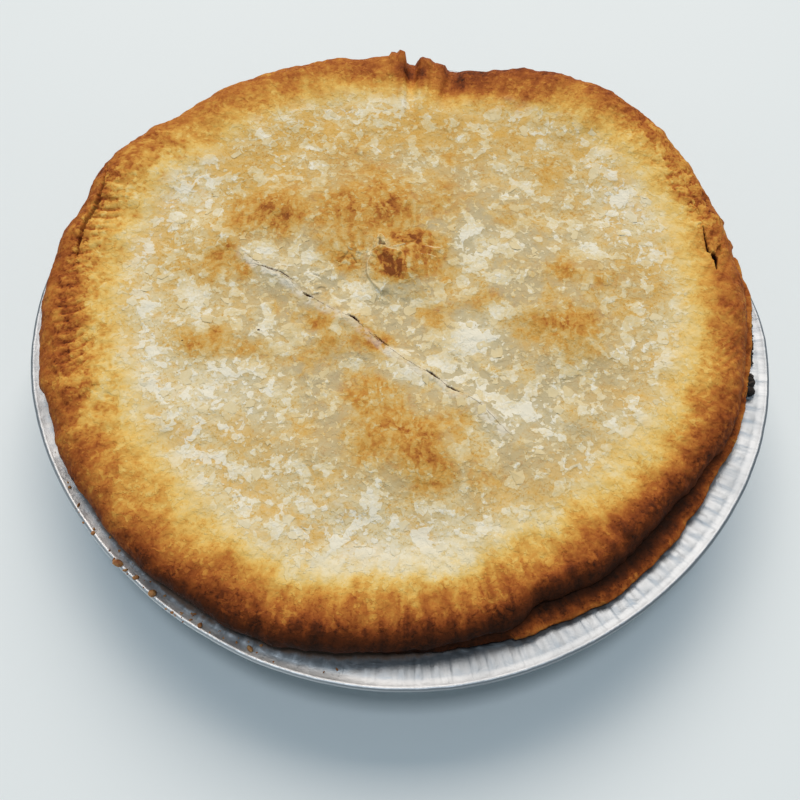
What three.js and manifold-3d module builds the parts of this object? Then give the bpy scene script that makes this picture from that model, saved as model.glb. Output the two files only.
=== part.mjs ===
// A round two-crust meat pie, baked and left in the pressed foil tin that it comes in.
// Millimetres, +Z up, standing on z = 0. The origin is the middle of the tin's outline,
// and the side of the pie that faces the viewer is at -Y. Bearings are degrees from +X towards +Y.

import * as THREE from 'three';
import Module from 'manifold-3d';

const wasm = await Module();
wasm.setup();

const TURN = 2 * Math.PI;

// The tin: a nine-inch pie plate of pressed foil, with fluted walls and flange and a rolled lip.
const LIP_RADIUS = 114;
const LIP_LEVEL = 30;
const LIP_ROLL = 1.5;
const LIP_ROLL_BEARINGS = [140, 70, 0, -70, -140];
const BASE_RADIUS = 86;
const WALL_FOOT = { radius: 89, level: 2.6 };
const WALL_TOP = { radius: 103.4, level: 28.8 };
const FLANGE_END = { radius: 110.8, level: 29.6 };
const FOIL = 0.5;
const FLUTES = 144;
const FLUTE_DEPTH = 0.7;

// The lip is a little out of round. Each swell repeats evenly around it and peaks at one bearing.
const LIP_SWELLS = [
  { lobes: 3, height: 0.8, peak: 186 },
  { lobes: 4, height: 1.0, peak: 174 },
];

// Its flange is bent in at two places.
const LIP_DENTS = [
  { bearing: 10, reach: 7, depth: 1.5 },
  { bearing: 79, reach: 9, depth: 3 },
];
const TIN_CENTRE = { x: 0.8, y: 0.05 };

// The crust's rim: how far out its edge reaches, and how high its crest stands above the lip.
const RIM_STATIONS = [
  { bearing: 0, edge: 106.8, crest: 12 },
  { bearing: 12, edge: 108.6, crest: 12 },
  { bearing: 24, edge: 111.2, crest: 12.6 },
  { bearing: 36, edge: 113.6, crest: 14 },
  { bearing: 52, edge: 115.8, crest: 15.6 },
  { bearing: 66, edge: 112.2, crest: 13.5 },
  { bearing: 79, edge: 106.7, crest: 10.8 },
  { bearing: 92, edge: 109.2, crest: 12 },
  { bearing: 115, edge: 111, crest: 12.7 },
  { bearing: 135, edge: 111.3, crest: 13.3 },
  { bearing: 151, edge: 114, crest: 14.7 },
  { bearing: 160, edge: 112.2, crest: 13.6 },
  { bearing: 168, edge: 112.6, crest: 12.9 },
  { bearing: 185, edge: 111, crest: 12 },
  { bearing: 205, edge: 109.8, crest: 11.5 },
  { bearing: 230, edge: 109, crest: 11.5 },
  { bearing: 256, edge: 108.6, crest: 11.5 },
  { bearing: 280, edge: 103.6, crest: 11 },
  { bearing: 305, edge: 104.2, crest: 11 },
  { bearing: 330, edge: 103.3, crest: 11.5 },
];
const SHOULDER_WIDTH = 9;
const SHOULDER_DROP = 6;
const SHOULDER_TURNS = [30, 60, 90];

// Round the right of the pie the under crust shows below the lid's edge, past a seam.
// It stands higher towards its back end.
const UNDER_CRUST = { from: 286.5, to: 373.4, ramp: 1.5, step: 2.8, seam: 1.2 };
const UNDER_CRUST_DROP = { front: 2.4, back: 1.2 };
const UNDER_CRUST_CLIMB = { from: 335, to: 365 };

// At the front right the lid's edge stands back from the under crust's, which leaves a ledge.
const LEDGE = { width: 3.6, from: 286.5, full: 293, fade: 318, to: 336 };

// Crags stand on the back of the rim, with a gap between the first two.
const CRAGS = [
  { bearing: 92.2, rise: 3.2, reach: 1.3 },
  { bearing: 89.1, rise: -3, reach: 1.2 },
  { bearing: 85.5, rise: 2.6, reach: 1.6 },
  { bearing: 81.8, rise: 1.8, reach: 1.2 },
];
const CRAG_SHARE = { crest: 0.5, shoulder: 1, edge: 0.6 };

// The lid: nearly level, lifted in lumps where the filling pushes it up.
const LID_LEVEL = LIP_LEVEL + 11;
const LID_RINGS = 22;
const LID_SPACING = 4.6;
const LID_MEETS_RIM = 0.7;
const LUMPS = [
  { x: -43, y: 33, radius: 13, height: 2.2 },
  { x: -9.5, y: 37, radius: 18, height: 2.8 },
  { x: -2.5, y: 14, radius: 11, height: 3.4 },
  { x: 0, y: -48, radius: 19, height: 3 },
  { x: 50, y: -11.5, radius: 14, height: 2.4 },
  { x: 46, y: 14, radius: 10, height: 1.2 },
  { x: 61, y: 11, radius: 8, height: 1 },
  { x: -55, y: 12, radius: 10, height: 1.2 },
  { x: -54, y: -15.5, radius: 15, height: 1.6 },
  { x: -20, y: -12, radius: 10, height: 1.2 },
  { x: 22, y: -62.5, radius: 11, height: 1 },
];
const BLISTER = { height: 0.9, spacing: 13 };
const RIM_WAVE = { reach: 0.7, lift: 0.6, spacing: 9 };

// The steam slit: a knife cut whose lips have risen and closed again, apart from five gaps.
const SLIT_PATH = [
  [-51, 18.4], [-43.2, 11.8], [-36.4, 8.4], [-28.4, 1.7], [-14, -8],
  [-2.9, -17.4], [7.2, -24.4], [18.6, -32.1], [32.4, -46.6],
];
const SLIT_LIP = { height: 0.9, reach: 4 };
const SLIT_GAPS = [
  { from: 0.24, to: 0.285 },
  { from: 0.39, to: 0.45 },
  { from: 0.495, to: 0.555 },
  { from: 0.675, to: 0.735 },
  { from: 0.745, to: 0.8 },
];
const SLIT_GAP_WIDTH = 1;
const SLIT_GAP_DEPTH = 3;

// Cracks in the rim. A path's points are a bearing and a distance in from the crust's edge.
const RIM_CRACKS = [
  { path: [[153.5, 4.2], [159.2, 6.6], [164.7, 7.6], [172.5, 8.8]], width: 2, depth: 4.5 },
  { path: [[17.6, 9.4], [12.8, 8.9], [10, 9], [6.8, 8.7]], width: 1.8, depth: 4.5 },
  { path: [[22.8, 8.4], [21.4, 8.2], [20, 8.3]], width: 1.4, depth: 3 },
];

// How far the pie stays off the foil, how finely its rim is drawn, and where it is drawn finer.
const REST_GAP = 0.4;
const RIM_STEP = 3.1;
const FINE_STEP = 1.25;
const FINE_SECTORS = [[4, 26], [78, 97], [152, 174], [284, 291]];
const WALL_COLUMNS = 96;
const FLOOR_COLUMNS = 72;

const radians = (degrees) => THREE.MathUtils.degToRad(degrees);
const degrees = (angle) => THREE.MathUtils.radToDeg(angle);
const smooth = THREE.MathUtils.smoothstep;

// A fixed value between -1 and 1 for each whole grid point.
function gridValue(i, j) {
  const wave = Math.sin(i * 127.1 + j * 311.7) * 43758.5453;
  return 2 * (wave - Math.floor(wave)) - 1;
}

// Smooth unevenness between -1 and 1, with humps about one unit apart.
function unevenness(u, v) {
  const i = Math.floor(u);
  const j = Math.floor(v);
  const s = smooth(u - i, 0, 1);
  const t = smooth(v - j, 0, 1);
  const near = THREE.MathUtils.lerp(gridValue(i, j), gridValue(i + 1, j), s);
  const far = THREE.MathUtils.lerp(gridValue(i, j + 1), gridValue(i + 1, j + 1), s);
  return THREE.MathUtils.lerp(near, far, t);
}

// The signed difference between two bearings, in degrees.
function turnBetween(bearing, from) {
  return THREE.MathUtils.euclideanModulo(bearing - from + 180, 360) - 180;
}

// A smooth closed curve through one of the rim's measures, read at a bearing.
function alongRim(bearing, measure) {
  const count = RIM_STATIONS.length;
  const turned = THREE.MathUtils.euclideanModulo(bearing, 360);
  let index = count - 1;
  while (RIM_STATIONS[index].bearing > turned) index -= 1;
  const station = (offset) => RIM_STATIONS[(index + offset + count) % count];
  const span = THREE.MathUtils.euclideanModulo(station(1).bearing - station(0).bearing, 360);
  const along = (turned - station(0).bearing) / span;
  const slope = (offset) => {
    const before = station(offset - 1);
    const after = station(offset + 1);
    const width = THREE.MathUtils.euclideanModulo(after.bearing - before.bearing, 360);
    return ((after[measure] - before[measure]) / width) * span;
  };
  const square = along * along;
  const cube = square * along;
  return station(0)[measure] * (2 * cube - 3 * square + 1)
    + slope(0) * (cube - 2 * square + along)
    + station(1)[measure] * (3 * square - 2 * cube)
    + slope(1) * (cube - square);
}

// The rim's unevenness at a bearing, the same all the way round.
function rimWave(bearing, row) {
  const around = radians(bearing);
  const radius = LIP_RADIUS / RIM_WAVE.spacing;
  return unevenness(radius * Math.cos(around) + row, radius * Math.sin(around) - row);
}

// How wide the ledge is at a bearing.
function ledgeWidth(bearing) {
  const { width, from, full, fade, to } = LEDGE;
  const turned = THREE.MathUtils.euclideanModulo(bearing, 360);
  return width * smooth(turned, from, full) * (1 - smooth(turned, fade, to));
}

function edgeRadius(bearing) {
  return alongRim(bearing, 'edge') - ledgeWidth(bearing) + RIM_WAVE.reach * rimWave(bearing, 40);
}

function crestRadius(bearing) {
  return alongRim(bearing, 'edge') - SHOULDER_WIDTH;
}

function crestLevel(bearing) {
  return LIP_LEVEL + alongRim(bearing, 'crest') + RIM_WAVE.lift * rimWave(bearing, 80);
}

function cragRise(bearing) {
  const rises = CRAGS.map((crag) => {
    const offset = turnBetween(bearing, crag.bearing) / crag.reach;
    return crag.rise * Math.exp(-offset * offset);
  });
  return rises.reduce((sum, rise) => sum + rise, 0);
}

// How fully the under crust shows at a bearing, from 0 to 1.
function underCrustShown(bearing) {
  const { from, to, ramp } = UNDER_CRUST;
  const past = THREE.MathUtils.euclideanModulo(bearing - from, 360);
  return smooth(past, 0, ramp) * (1 - smooth(past, to - from - ramp, to - from));
}

// How far below the lid's edge the under crust comes into view.
function underCrustDrop(bearing) {
  const { from, to } = UNDER_CRUST_CLIMB;
  const past = THREE.MathUtils.euclideanModulo(bearing - UNDER_CRUST.from, 360);
  const climbed = smooth(past + UNDER_CRUST.from, from, to);
  return THREE.MathUtils.lerp(UNDER_CRUST_DROP.front, UNDER_CRUST_DROP.back, climbed);
}

// How far the flange at a radius is bent in at a bearing.
function lipDent(radius, bearing) {
  const depths = LIP_DENTS.map((dent) => {
    const offset = turnBetween(bearing, dent.bearing) / dent.reach;
    return dent.depth * Math.exp(-offset * offset);
  });
  return smooth(radius, WALL_TOP.radius, LIP_RADIUS) * depths.reduce((sum, depth) => sum + depth, 0);
}

// The radius of the foil at a bearing, with the plain tin's radius given.
function swollen(radius, bearing) {
  const share = smooth(radius, BASE_RADIUS, LIP_RADIUS);
  const swells = LIP_SWELLS.map(({ lobes, height, peak }) => height * Math.cos(lobes * radians(bearing - peak)));
  return radius + share * swells.reduce((sum, swell) => sum + swell, 0) - lipDent(radius, bearing);
}

function polar(radius, bearing, level) {
  const angle = radians(bearing);
  return new THREE.Vector3(radius * Math.cos(angle), radius * Math.sin(angle), level);
}

function evenBearings(count) {
  return Array.from({ length: count }, (_, index) => (360 * index) / count);
}

// Bearings around the rim, closer together where it has small features.
function rimBearings() {
  const bearings = [];
  let bearing = 0;
  while (bearing < 360 - FINE_STEP / 2) {
    bearings.push(bearing);
    const fine = FINE_SECTORS.some(([from, to]) => bearing >= from && bearing <= to);
    bearing += fine ? FINE_STEP : RIM_STEP;
  }
  return bearings;
}

// A ring of points, one for each bearing, from a function that gives radius and level there.
function ring(bearings, place) {
  const points = bearings.map((bearing) => {
    const { radius, level } = place(bearing);
    return polar(radius, bearing, level);
  });
  return { bearings, points };
}

// A closed surface through rings that run from the top's middle, out and down, to the floor's middle.
function solidFromRings(top, rings, bottom) {
  const vertices = [];
  const triangles = [];
  const firsts = rings.map((each) => {
    const first = vertices.length;
    vertices.push(...each.points);
    return first;
  });
  for (let row = 0; row + 1 < rings.length; row += 1) {
    const inner = { first: firsts[row], bearings: rings[row].bearings };
    const outer = { first: firsts[row + 1], bearings: rings[row + 1].bearings };
    triangles.push(...bandBetween(inner, outer));
  }
  const topIndex = vertices.push(top) - 1;
  const bottomIndex = vertices.push(bottom) - 1;
  const lastFirst = firsts[firsts.length - 1];
  const topCount = rings[0].points.length;
  const bottomCount = rings[rings.length - 1].points.length;
  for (let k = 0; k < topCount; k += 1) {
    triangles.push([topIndex, firsts[0] + k, firsts[0] + ((k + 1) % topCount)]);
  }
  for (let k = 0; k < bottomCount; k += 1) {
    triangles.push([lastFirst + k, bottomIndex, lastFirst + ((k + 1) % bottomCount)]);
  }
  return geometryFrom(vertices, triangles);
}

// Triangles between two rings, which may have different numbers of points.
function bandBetween(inner, outer) {
  const triangles = [];
  const innerCount = inner.bearings.length;
  const outerCount = outer.bearings.length;
  const bearingAt = (bearings, k) => bearings[k % bearings.length] + 360 * Math.floor(k / bearings.length);
  let i = 0;
  let j = 0;
  while (i < innerCount || j < outerCount) {
    const innerNext = i < innerCount ? bearingAt(inner.bearings, i + 1) : Infinity;
    const outerNext = j < outerCount ? bearingAt(outer.bearings, j + 1) : Infinity;
    const a = inner.first + (i % innerCount);
    const b = outer.first + (j % outerCount);
    if (outerNext <= innerNext) {
      j += 1;
      triangles.push([a, b, outer.first + (j % outerCount)]);
    } else {
      i += 1;
      triangles.push([a, b, inner.first + (i % innerCount)]);
    }
  }
  return triangles;
}

function geometryFrom(vertices, triangles) {
  const geometry = new THREE.BufferGeometry().setFromPoints(vertices);
  geometry.setIndex(triangles.flat());
  geometry.computeVertexNormals();
  return geometry;
}

function solidFrom(geometry) {
  const vertProperties = new Float32Array(geometry.getAttribute('position').array);
  const triVerts = new Uint32Array(geometry.getIndex().array);
  return new wasm.Manifold(new wasm.Mesh({ numProp: 3, vertProperties, triVerts }));
}

function geometryOf(solid) {
  const mesh = solid.getMesh();
  const geometry = new THREE.BufferGeometry();
  geometry.setAttribute('position', new THREE.BufferAttribute(mesh.vertProperties, mesh.numProp));
  geometry.setIndex(new THREE.BufferAttribute(mesh.triVerts, 1));
  geometry.computeVertexNormals();
  return geometry;
}

// The tin's section, from the floor's edge up the inside, over the lip and down the outside.
// outward and upward say how far a flute moves each point.
function tinSection() {
  const slope = Math.atan2(WALL_TOP.radius - WALL_FOOT.radius, WALL_TOP.level - WALL_FOOT.level);
  const outside = (point) => ({
    radius: point.radius + FOIL * Math.cos(slope),
    level: point.level - FOIL * Math.sin(slope),
  });
  const footFlute = { outward: 0.4, upward: 0 };
  const topFlute = { outward: 0.7, upward: 0.5 };
  const flangeFlute = { outward: 0, upward: 0.8 };
  const plain = { outward: 0, upward: 0 };
  const roll = LIP_ROLL_BEARINGS.map((bearing) => ({
    radius: LIP_RADIUS - LIP_ROLL + LIP_ROLL * Math.cos(radians(bearing)),
    level: LIP_LEVEL + LIP_ROLL * Math.sin(radians(bearing)),
    ...plain,
  }));
  return [
    { radius: BASE_RADIUS, level: FOIL, ...plain },
    { ...WALL_FOOT, ...footFlute },
    { ...WALL_TOP, ...topFlute },
    { ...FLANGE_END, ...flangeFlute },
    ...roll,
    { radius: FLANGE_END.radius, level: FLANGE_END.level - FOIL, ...flangeFlute },
    { ...outside(WALL_TOP), ...topFlute },
    { ...outside(WALL_FOOT), ...footFlute },
    { radius: BASE_RADIUS + FOIL / 2, level: 0, ...plain },
  ];
}

function foilTin() {
  const bearings = evenBearings(2 * FLUTES);
  const rings = tinSection().map((point) => ring(bearings, (bearing) => {
    const side = Math.round((bearing * FLUTES) / 180) % 2 === 0 ? 1 : -1;
    const push = (side * FLUTE_DEPTH) / 2;
    return {
      radius: swollen(point.radius, bearing) + push * point.outward,
      level: point.level + push * point.upward,
    };
  }));
  const inside = new THREE.Vector3(0, 0, FOIL);
  const underside = new THREE.Vector3(0, 0, 0);
  return solidFromRings(inside, rings, underside);
}

const slitCurve = new THREE.CatmullRomCurve3(SLIT_PATH.map(([x, y]) => new THREE.Vector3(x, y, 0)));
const slitPoints = slitCurve.getSpacedPoints(60);

// The lid's height at a plan point, out to the crest of the rim.
function lidLevel(x, y) {
  const lumps = LUMPS.map((lump) => {
    const distance = Math.hypot(x - lump.x, y - lump.y) / lump.radius;
    return lump.height * Math.exp(-distance * distance);
  });
  const here = new THREE.Vector3(x, y, 0);
  const fromSlit = Math.min(...slitPoints.map((point) => point.distanceTo(here))) / SLIT_LIP.reach;
  const lip = SLIT_LIP.height * Math.exp(-fromSlit * fromSlit);
  const blister = BLISTER.height * unevenness(x / BLISTER.spacing, y / BLISTER.spacing);
  const lid = LID_LEVEL + lumps.reduce((sum, lump) => sum + lump, 0) + lip + blister;
  const bearing = degrees(Math.atan2(y, x));
  const towardsRim = smooth(Math.hypot(x, y) / crestRadius(bearing), LID_MEETS_RIM, 1);
  const crest = crestLevel(bearing) + CRAG_SHARE.crest * cragRise(bearing);
  return THREE.MathUtils.lerp(lid, crest, towardsRim);
}

function lidRings() {
  const crestLength = TURN * (LIP_RADIUS - 2 * SHOULDER_WIDTH);
  return Array.from({ length: LID_RINGS - 1 }, (_, index) => {
    const share = (index + 1) / LID_RINGS;
    const count = Math.max(6, Math.round((crestLength * share) / LID_SPACING));
    return ring(evenBearings(count), (bearing) => {
      const radius = share * crestRadius(bearing);
      const point = polar(radius, bearing, 0);
      return { radius, level: lidLevel(point.x, point.y) };
    });
  });
}

// The rim from its crest, over the shoulder to the edge, then down its face to the flange.
function rimRings() {
  const bearings = rimBearings();
  const edgeLevel = (bearing) => crestLevel(bearing) - SHOULDER_DROP + CRAG_SHARE.edge * cragRise(bearing);
  const crest = ring(bearings, (bearing) => ({
    radius: crestRadius(bearing),
    level: crestLevel(bearing) + CRAG_SHARE.crest * cragRise(bearing),
  }));
  const shoulders = SHOULDER_TURNS.map((turn) => ring(bearings, (bearing) => {
    const drop = SHOULDER_DROP * (1 - Math.cos(radians(turn)));
    const share = turn < 90 ? CRAG_SHARE.shoulder : CRAG_SHARE.edge;
    const width = edgeRadius(bearing) - crestRadius(bearing);
    return {
      radius: crestRadius(bearing) + width * Math.sin(radians(turn)),
      level: crestLevel(bearing) - drop + share * cragRise(bearing),
    };
  }));
  const seam = ring(bearings, (bearing) => ({
    radius: edgeRadius(bearing) - 0.4 - UNDER_CRUST.seam * underCrustShown(bearing),
    level: edgeLevel(bearing) - underCrustDrop(bearing) / 2,
  }));
  const ledgeEnd = (bearing) => edgeRadius(bearing) + ledgeWidth(bearing);
  const underRadius = (bearing) => ledgeEnd(bearing) - 0.8 + UNDER_CRUST.step * underCrustShown(bearing);
  const under = ring(bearings, (bearing) => ({
    radius: underRadius(bearing),
    level: edgeLevel(bearing) - underCrustDrop(bearing),
  }));
  const flangeEnd = (bearing) => FLANGE_END.radius - lipDent(FLANGE_END.radius, bearing);
  const foot = ring(bearings, (bearing) => ({
    radius: THREE.MathUtils.clamp(underRadius(bearing) - 1, WALL_TOP.radius + 1.2, flangeEnd(bearing) - 1.8),
    level: FLANGE_END.level + FLUTE_DEPTH / 2 + REST_GAP,
  }));
  return [crest, ...shoulders, seam, under, foot];
}

// The pie's hidden side and floor, which lie against the foil.
function hiddenRings() {
  const clear = FLUTE_DEPTH / 2 + REST_GAP;
  const heel = ring(evenBearings(WALL_COLUMNS), (bearing) => ({
    radius: swollen(WALL_TOP.radius, bearing) - 1.5 * clear,
    level: WALL_TOP.level + clear / 2,
  }));
  const wallFoot = ring(evenBearings(FLOOR_COLUMNS), (bearing) => ({
    radius: swollen(WALL_FOOT.radius, bearing) - 1.3 * clear,
    level: WALL_FOOT.level + REST_GAP,
  }));
  const floor = ring(evenBearings(FLOOR_COLUMNS), () => ({
    radius: BASE_RADIUS - clear,
    level: FOIL + REST_GAP,
  }));
  return [heel, wallFoot, floor];
}

// The height of the lid or the rim's shoulder at a plan point.
function topLevel(x, y) {
  const bearing = degrees(Math.atan2(y, x));
  const past = Math.hypot(x, y) - crestRadius(bearing);
  if (past <= 0) return lidLevel(x, y);
  const share = Math.min(past / (edgeRadius(bearing) - crestRadius(bearing)), 1);
  return crestLevel(bearing) - SHOULDER_DROP * (1 - Math.sqrt(1 - share * share));
}

// A wedge along a plan curve, pointed at both ends, that stands above the crust and cuts down into it.
function crackCutter(curve, width, depth) {
  const steps = 10;
  const above = 2;
  const vertices = [];
  for (let k = 0; k <= steps; k += 1) {
    const along = k / steps;
    const point = curve.getPointAt(along);
    const tangent = curve.getTangentAt(along);
    const across = new THREE.Vector3(-tangent.y, tangent.x, 0).normalize();
    const fullness = 0.06 + 0.94 * Math.sin(Math.PI * along);
    const half = (width / 2) * fullness;
    const level = topLevel(point.x, point.y);
    const widened = half * (1 + above / depth);
    vertices.push(new THREE.Vector3(point.x, point.y, level + above).addScaledVector(across, widened));
    vertices.push(new THREE.Vector3(point.x, point.y, level + above).addScaledVector(across, -widened));
    vertices.push(new THREE.Vector3(point.x, point.y, level - depth * fullness));
  }
  const triangles = [[0, 2, 1]];
  for (let k = 0; k < steps; k += 1) {
    for (let side = 0; side < 3; side += 1) {
      const a = 3 * k + side;
      const b = 3 * k + ((side + 1) % 3);
      triangles.push([a, b, a + 3]);
      triangles.push([b, b + 3, a + 3]);
    }
  }
  const last = 3 * steps;
  triangles.push([last, last + 1, last + 2]);
  return solidFrom(geometryFrom(vertices, triangles));
}

function curveThrough(points) {
  return new THREE.CatmullRomCurve3(points);
}

function slitCutters() {
  return SLIT_GAPS.map(({ from, to }) => {
    const shares = [0, 0.5, 1].map((share) => THREE.MathUtils.lerp(from, to, share));
    const curve = curveThrough(shares.map((share) => slitCurve.getPointAt(share)));
    return crackCutter(curve, SLIT_GAP_WIDTH, SLIT_GAP_DEPTH);
  });
}

function rimCrackCutters() {
  return RIM_CRACKS.map(({ path, width, depth }) => {
    const points = path.map(([bearing, inset]) => polar(edgeRadius(bearing) - inset, bearing, 0));
    return crackCutter(curveThrough(points), width, depth);
  });
}

function pie() {
  const rings = [...lidRings(), ...rimRings(), ...hiddenRings()];
  const middle = new THREE.Vector3(0, 0, lidLevel(0, 0));
  const underside = new THREE.Vector3(0, 0, FOIL + REST_GAP);
  const whole = solidFrom(solidFromRings(middle, rings, underside));
  const cutters = [...slitCutters(), ...rimCrackCutters()];
  return geometryOf(cutters.reduce((solid, cutter) => solid.subtract(cutter), whole));
}

const foilMaterial = new THREE.MeshStandardMaterial({ color: 0xd3d7d8, roughness: 0.32, metalness: 1 });
const crustMaterial = new THREE.MeshStandardMaterial({ color: 0xd2a869, roughness: 0.75, metalness: 0 });

function namedMesh(name, geometry, material) {
  const mesh = new THREE.Mesh(geometry, material);
  mesh.name = name;
  return mesh;
}

const tourtiere = new THREE.Group();
tourtiere.position.set(TIN_CENTRE.x, TIN_CENTRE.y, 0);
tourtiere.add(namedMesh('foil_tin', foilTin(), foilMaterial));
tourtiere.add(namedMesh('pie', pie(), crustMaterial));

export default tourtiere;
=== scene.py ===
"""A tourtiere in the foil tin it was baked in: flaky crust, fluted foil, loose flakes and crumbs."""

import math

import bpy
import numpy as np
from mathutils import Matrix, Vector, noise


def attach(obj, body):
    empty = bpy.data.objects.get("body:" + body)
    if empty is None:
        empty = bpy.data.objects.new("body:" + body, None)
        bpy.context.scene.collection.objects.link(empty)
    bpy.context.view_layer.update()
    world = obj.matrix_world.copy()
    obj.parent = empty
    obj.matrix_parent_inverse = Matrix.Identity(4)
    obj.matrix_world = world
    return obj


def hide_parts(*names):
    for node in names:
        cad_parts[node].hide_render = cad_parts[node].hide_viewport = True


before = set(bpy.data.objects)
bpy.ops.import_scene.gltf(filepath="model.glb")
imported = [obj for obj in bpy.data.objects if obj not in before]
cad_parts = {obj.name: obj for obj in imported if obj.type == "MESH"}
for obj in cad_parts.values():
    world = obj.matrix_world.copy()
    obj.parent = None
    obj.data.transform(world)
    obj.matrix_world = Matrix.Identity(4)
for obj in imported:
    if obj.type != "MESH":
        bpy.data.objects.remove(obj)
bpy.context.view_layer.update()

# Lengths are in millimetres up to the point where a mesh is made. Bearings are degrees from +X towards +Y.
MM = 0.001
TIN_CENTRE = (0.8, 0.05)

# Blender's vector noise starts from the clock unless it is given a seed.
NOISE_SEED = 1
noise.seed_set(NOISE_SEED)

# The tin, as the solid has it, with thinner foil, a slightly higher flange and a finer lip.
LIP_RADIUS = 114.0
LIP_LEVEL = 30.0
LIP_ROLL = 0.85
BASE_RADIUS = 86.0
WALL_FOOT = (89.0, 2.6)
WALL_TOP = (103.4, 28.8)
FLANGE_END = (111.3, 30.2)
LIP_SWELLS = [
    {"lobes": 3, "height": 0.8, "peak": 186},
    {"lobes": 4, "height": 1.0, "peak": 174},
]
FOIL_THICKNESS = 0.25
FLUTES = 144
FLUTE_DEPTH = 0.9
DENT_DEPTH = 0.8
COLUMNS_PER_FLUTE = 8
BASE_SHARES = (0.35, 0.7, 0.93, 1.0)
WALL_ROWS = 14
FLANGE_ROWS = 10
LIP_ROWS = 14
# The ring of painted sheen on the foil lies a little off the tin's middle, so that it is wider at the left.
SHEEN_MIDDLE = (0.8, 0.05)
# Stains with painted shade, and painted sheen, of the foil: how strong, and the radii where they fade or
# grow.
FLANGE_STAIN_AND_SHADE = {"strength": 0.95, "from": 109.6, "to": 111.8}
FLANGE_SHEEN = {"strength": 0.85, "from": 109.8, "to": 111.8}
LIP_SHEEN = {"strength": 0.14, "from": 113.0, "to": 113.9, "less at left": 0.9}
# The stain and painted shade beside the crust fade between these distances out from its edge.
CRUST_STAIN_AND_SHADE = (-1.5, 2.5)
# The flutes grow over the wall's foot. They fade by a share over the outer part of the flange.
FLUTES_GROW = (-0.15, 0.25)
FLANGE_FADE = {"share": 0.65, "from": 0.6}
FLANGE_FLUTED = {"out": 0.3, "up": 0.62}
# The flange's first row lies this share of its width out from the wall.
FLANGE_FROM = 0.12
# The lip rolls from the first of these angles over the top to the second, with a share of flutes and dents.
LIP_TURN = (125, -150)
LIP_FLUTED = 0.12
LIP_DENTED = 0.7

# The crust's rim: bearing, how far out its edge reaches, how high its crest stands above the lip.
RIM_STATIONS = np.array([
    (0, 106.8, 12.0),
    (12, 108.6, 12.0),
    (24, 111.2, 12.6),
    (36, 113.6, 14.0),
    (52, 115.8, 15.6),
    (66, 112.2, 13.5),
    (79, 106.7, 10.8),
    (92, 109.2, 12.0),
    (115, 111.0, 12.7),
    (135, 111.3, 13.3),
    (151, 114.0, 14.7),
    (160, 112.2, 13.6),
    (168, 112.6, 12.9),
    (185, 111.0, 12.0),
    (205, 109.8, 11.5),
    (230, 109.0, 11.5),
    (256, 108.6, 11.5),
    (280, 103.6, 11.0),
    (305, 104.2, 11.0),
    (330, 103.3, 11.5),
])
SHOULDER_WIDTH = 9.0
SHOULDER_DROP = 6.0
LIP_DENTS = [
    {"bearing": 10.0, "reach": 7.0, "depth": 1.5},
    {"bearing": 79.0, "reach": 9.0, "depth": 3.0},
]
UNDER_CRUST = {"from": 286.5, "to": 373.4, "ramp": 0.8, "step": 2.3, "seam": 1.6}
UNDER_CRUST_DROP = {"front": 2.4, "back": 1.2}
UNDER_CRUST_CLIMB = {"from": 335, "to": 365}
LEDGE = {"width": 3.6, "from": 286.5, "full": 293, "fade": 318, "to": 336}
CRAGS = [
    {"bearing": 92.4, "rise": 2.0, "reach": 0.9},
    {"bearing": 90.9, "rise": 3.7, "reach": 0.8},
    {"bearing": 89.0, "rise": -2.4, "reach": 1.1},
    {"bearing": 86.2, "rise": 2.8, "reach": 1.6},
    {"bearing": 83.4, "rise": 1.8, "reach": 1.4},
    {"bearing": 80.5, "rise": -0.6, "reach": 1.6},
]
EDGE_JAGS = [
    {"bearing": 19.3, "reach": 0.4, "out": 0.5},
    {"bearing": 14.8, "reach": 0.9, "out": 0.4},
]
CRAG_SHARE = {"crest": 0.5, "shoulder": 1.0, "edge": 0.6}
RIM_WAVE = {"reach": 0.7, "lift": 0.6, "spacing": 9.0, "edge row": 40, "crest row": 80}

# The lid, with the lumps that the filling pushes up: x, y, radius and height.
LID_LEVEL = LIP_LEVEL + 11.0
LID_MEETS_RIM = 0.7
LUMPS = [
    (-43, 33, 13, 2.2), (-9.5, 37, 18, 2.8), (-2.5, 14, 11, 3.4), (0, -48, 19, 3.0), (50, -11.5, 14, 2.4),
    (46, 14, 10, 1.2), (61, 11, 8, 1.0), (-55, 12, 10, 1.2), (-54, -15.5, 15, 1.6), (-20, -12, 10, 1.2),
    (22, -62.5, 11, 1.0),
]
BLISTER = {"height": 0.9, "spacing": 13.0}
SLIT_PATH = [
    (-56.5, 23.7), (-49.3, 16.7), (-43.2, 11.8), (-36.4, 8.4), (-32.2, 4.6), (-28.4, 1.7), (-22.2, -2.5),
    (-17.3, -5.7), (-14, -8), (-10, -11.6), (-6, -14.8), (-2.9, -17.4), (1.8, -21.4), (7.2, -24.4),
    (10.7, -26.6), (14.1, -29.6), (18.6, -32.1), (22.7, -35), (28, -41), (34, -47.5),
]
SLIT_LIP = {"height": 0.9, "reach": 4.0}
SLIT_SPACING = 1.5
# The slit shows between these shares of its length, with this rise and fall at its ends.
SLIT_SHOWN = (0.04, 1, 0.08, 0.07)
SLIT_RIDGE = {"height": 0.18, "aside": 0.8, "wander": 0.2, "reach": 0.9}
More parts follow.
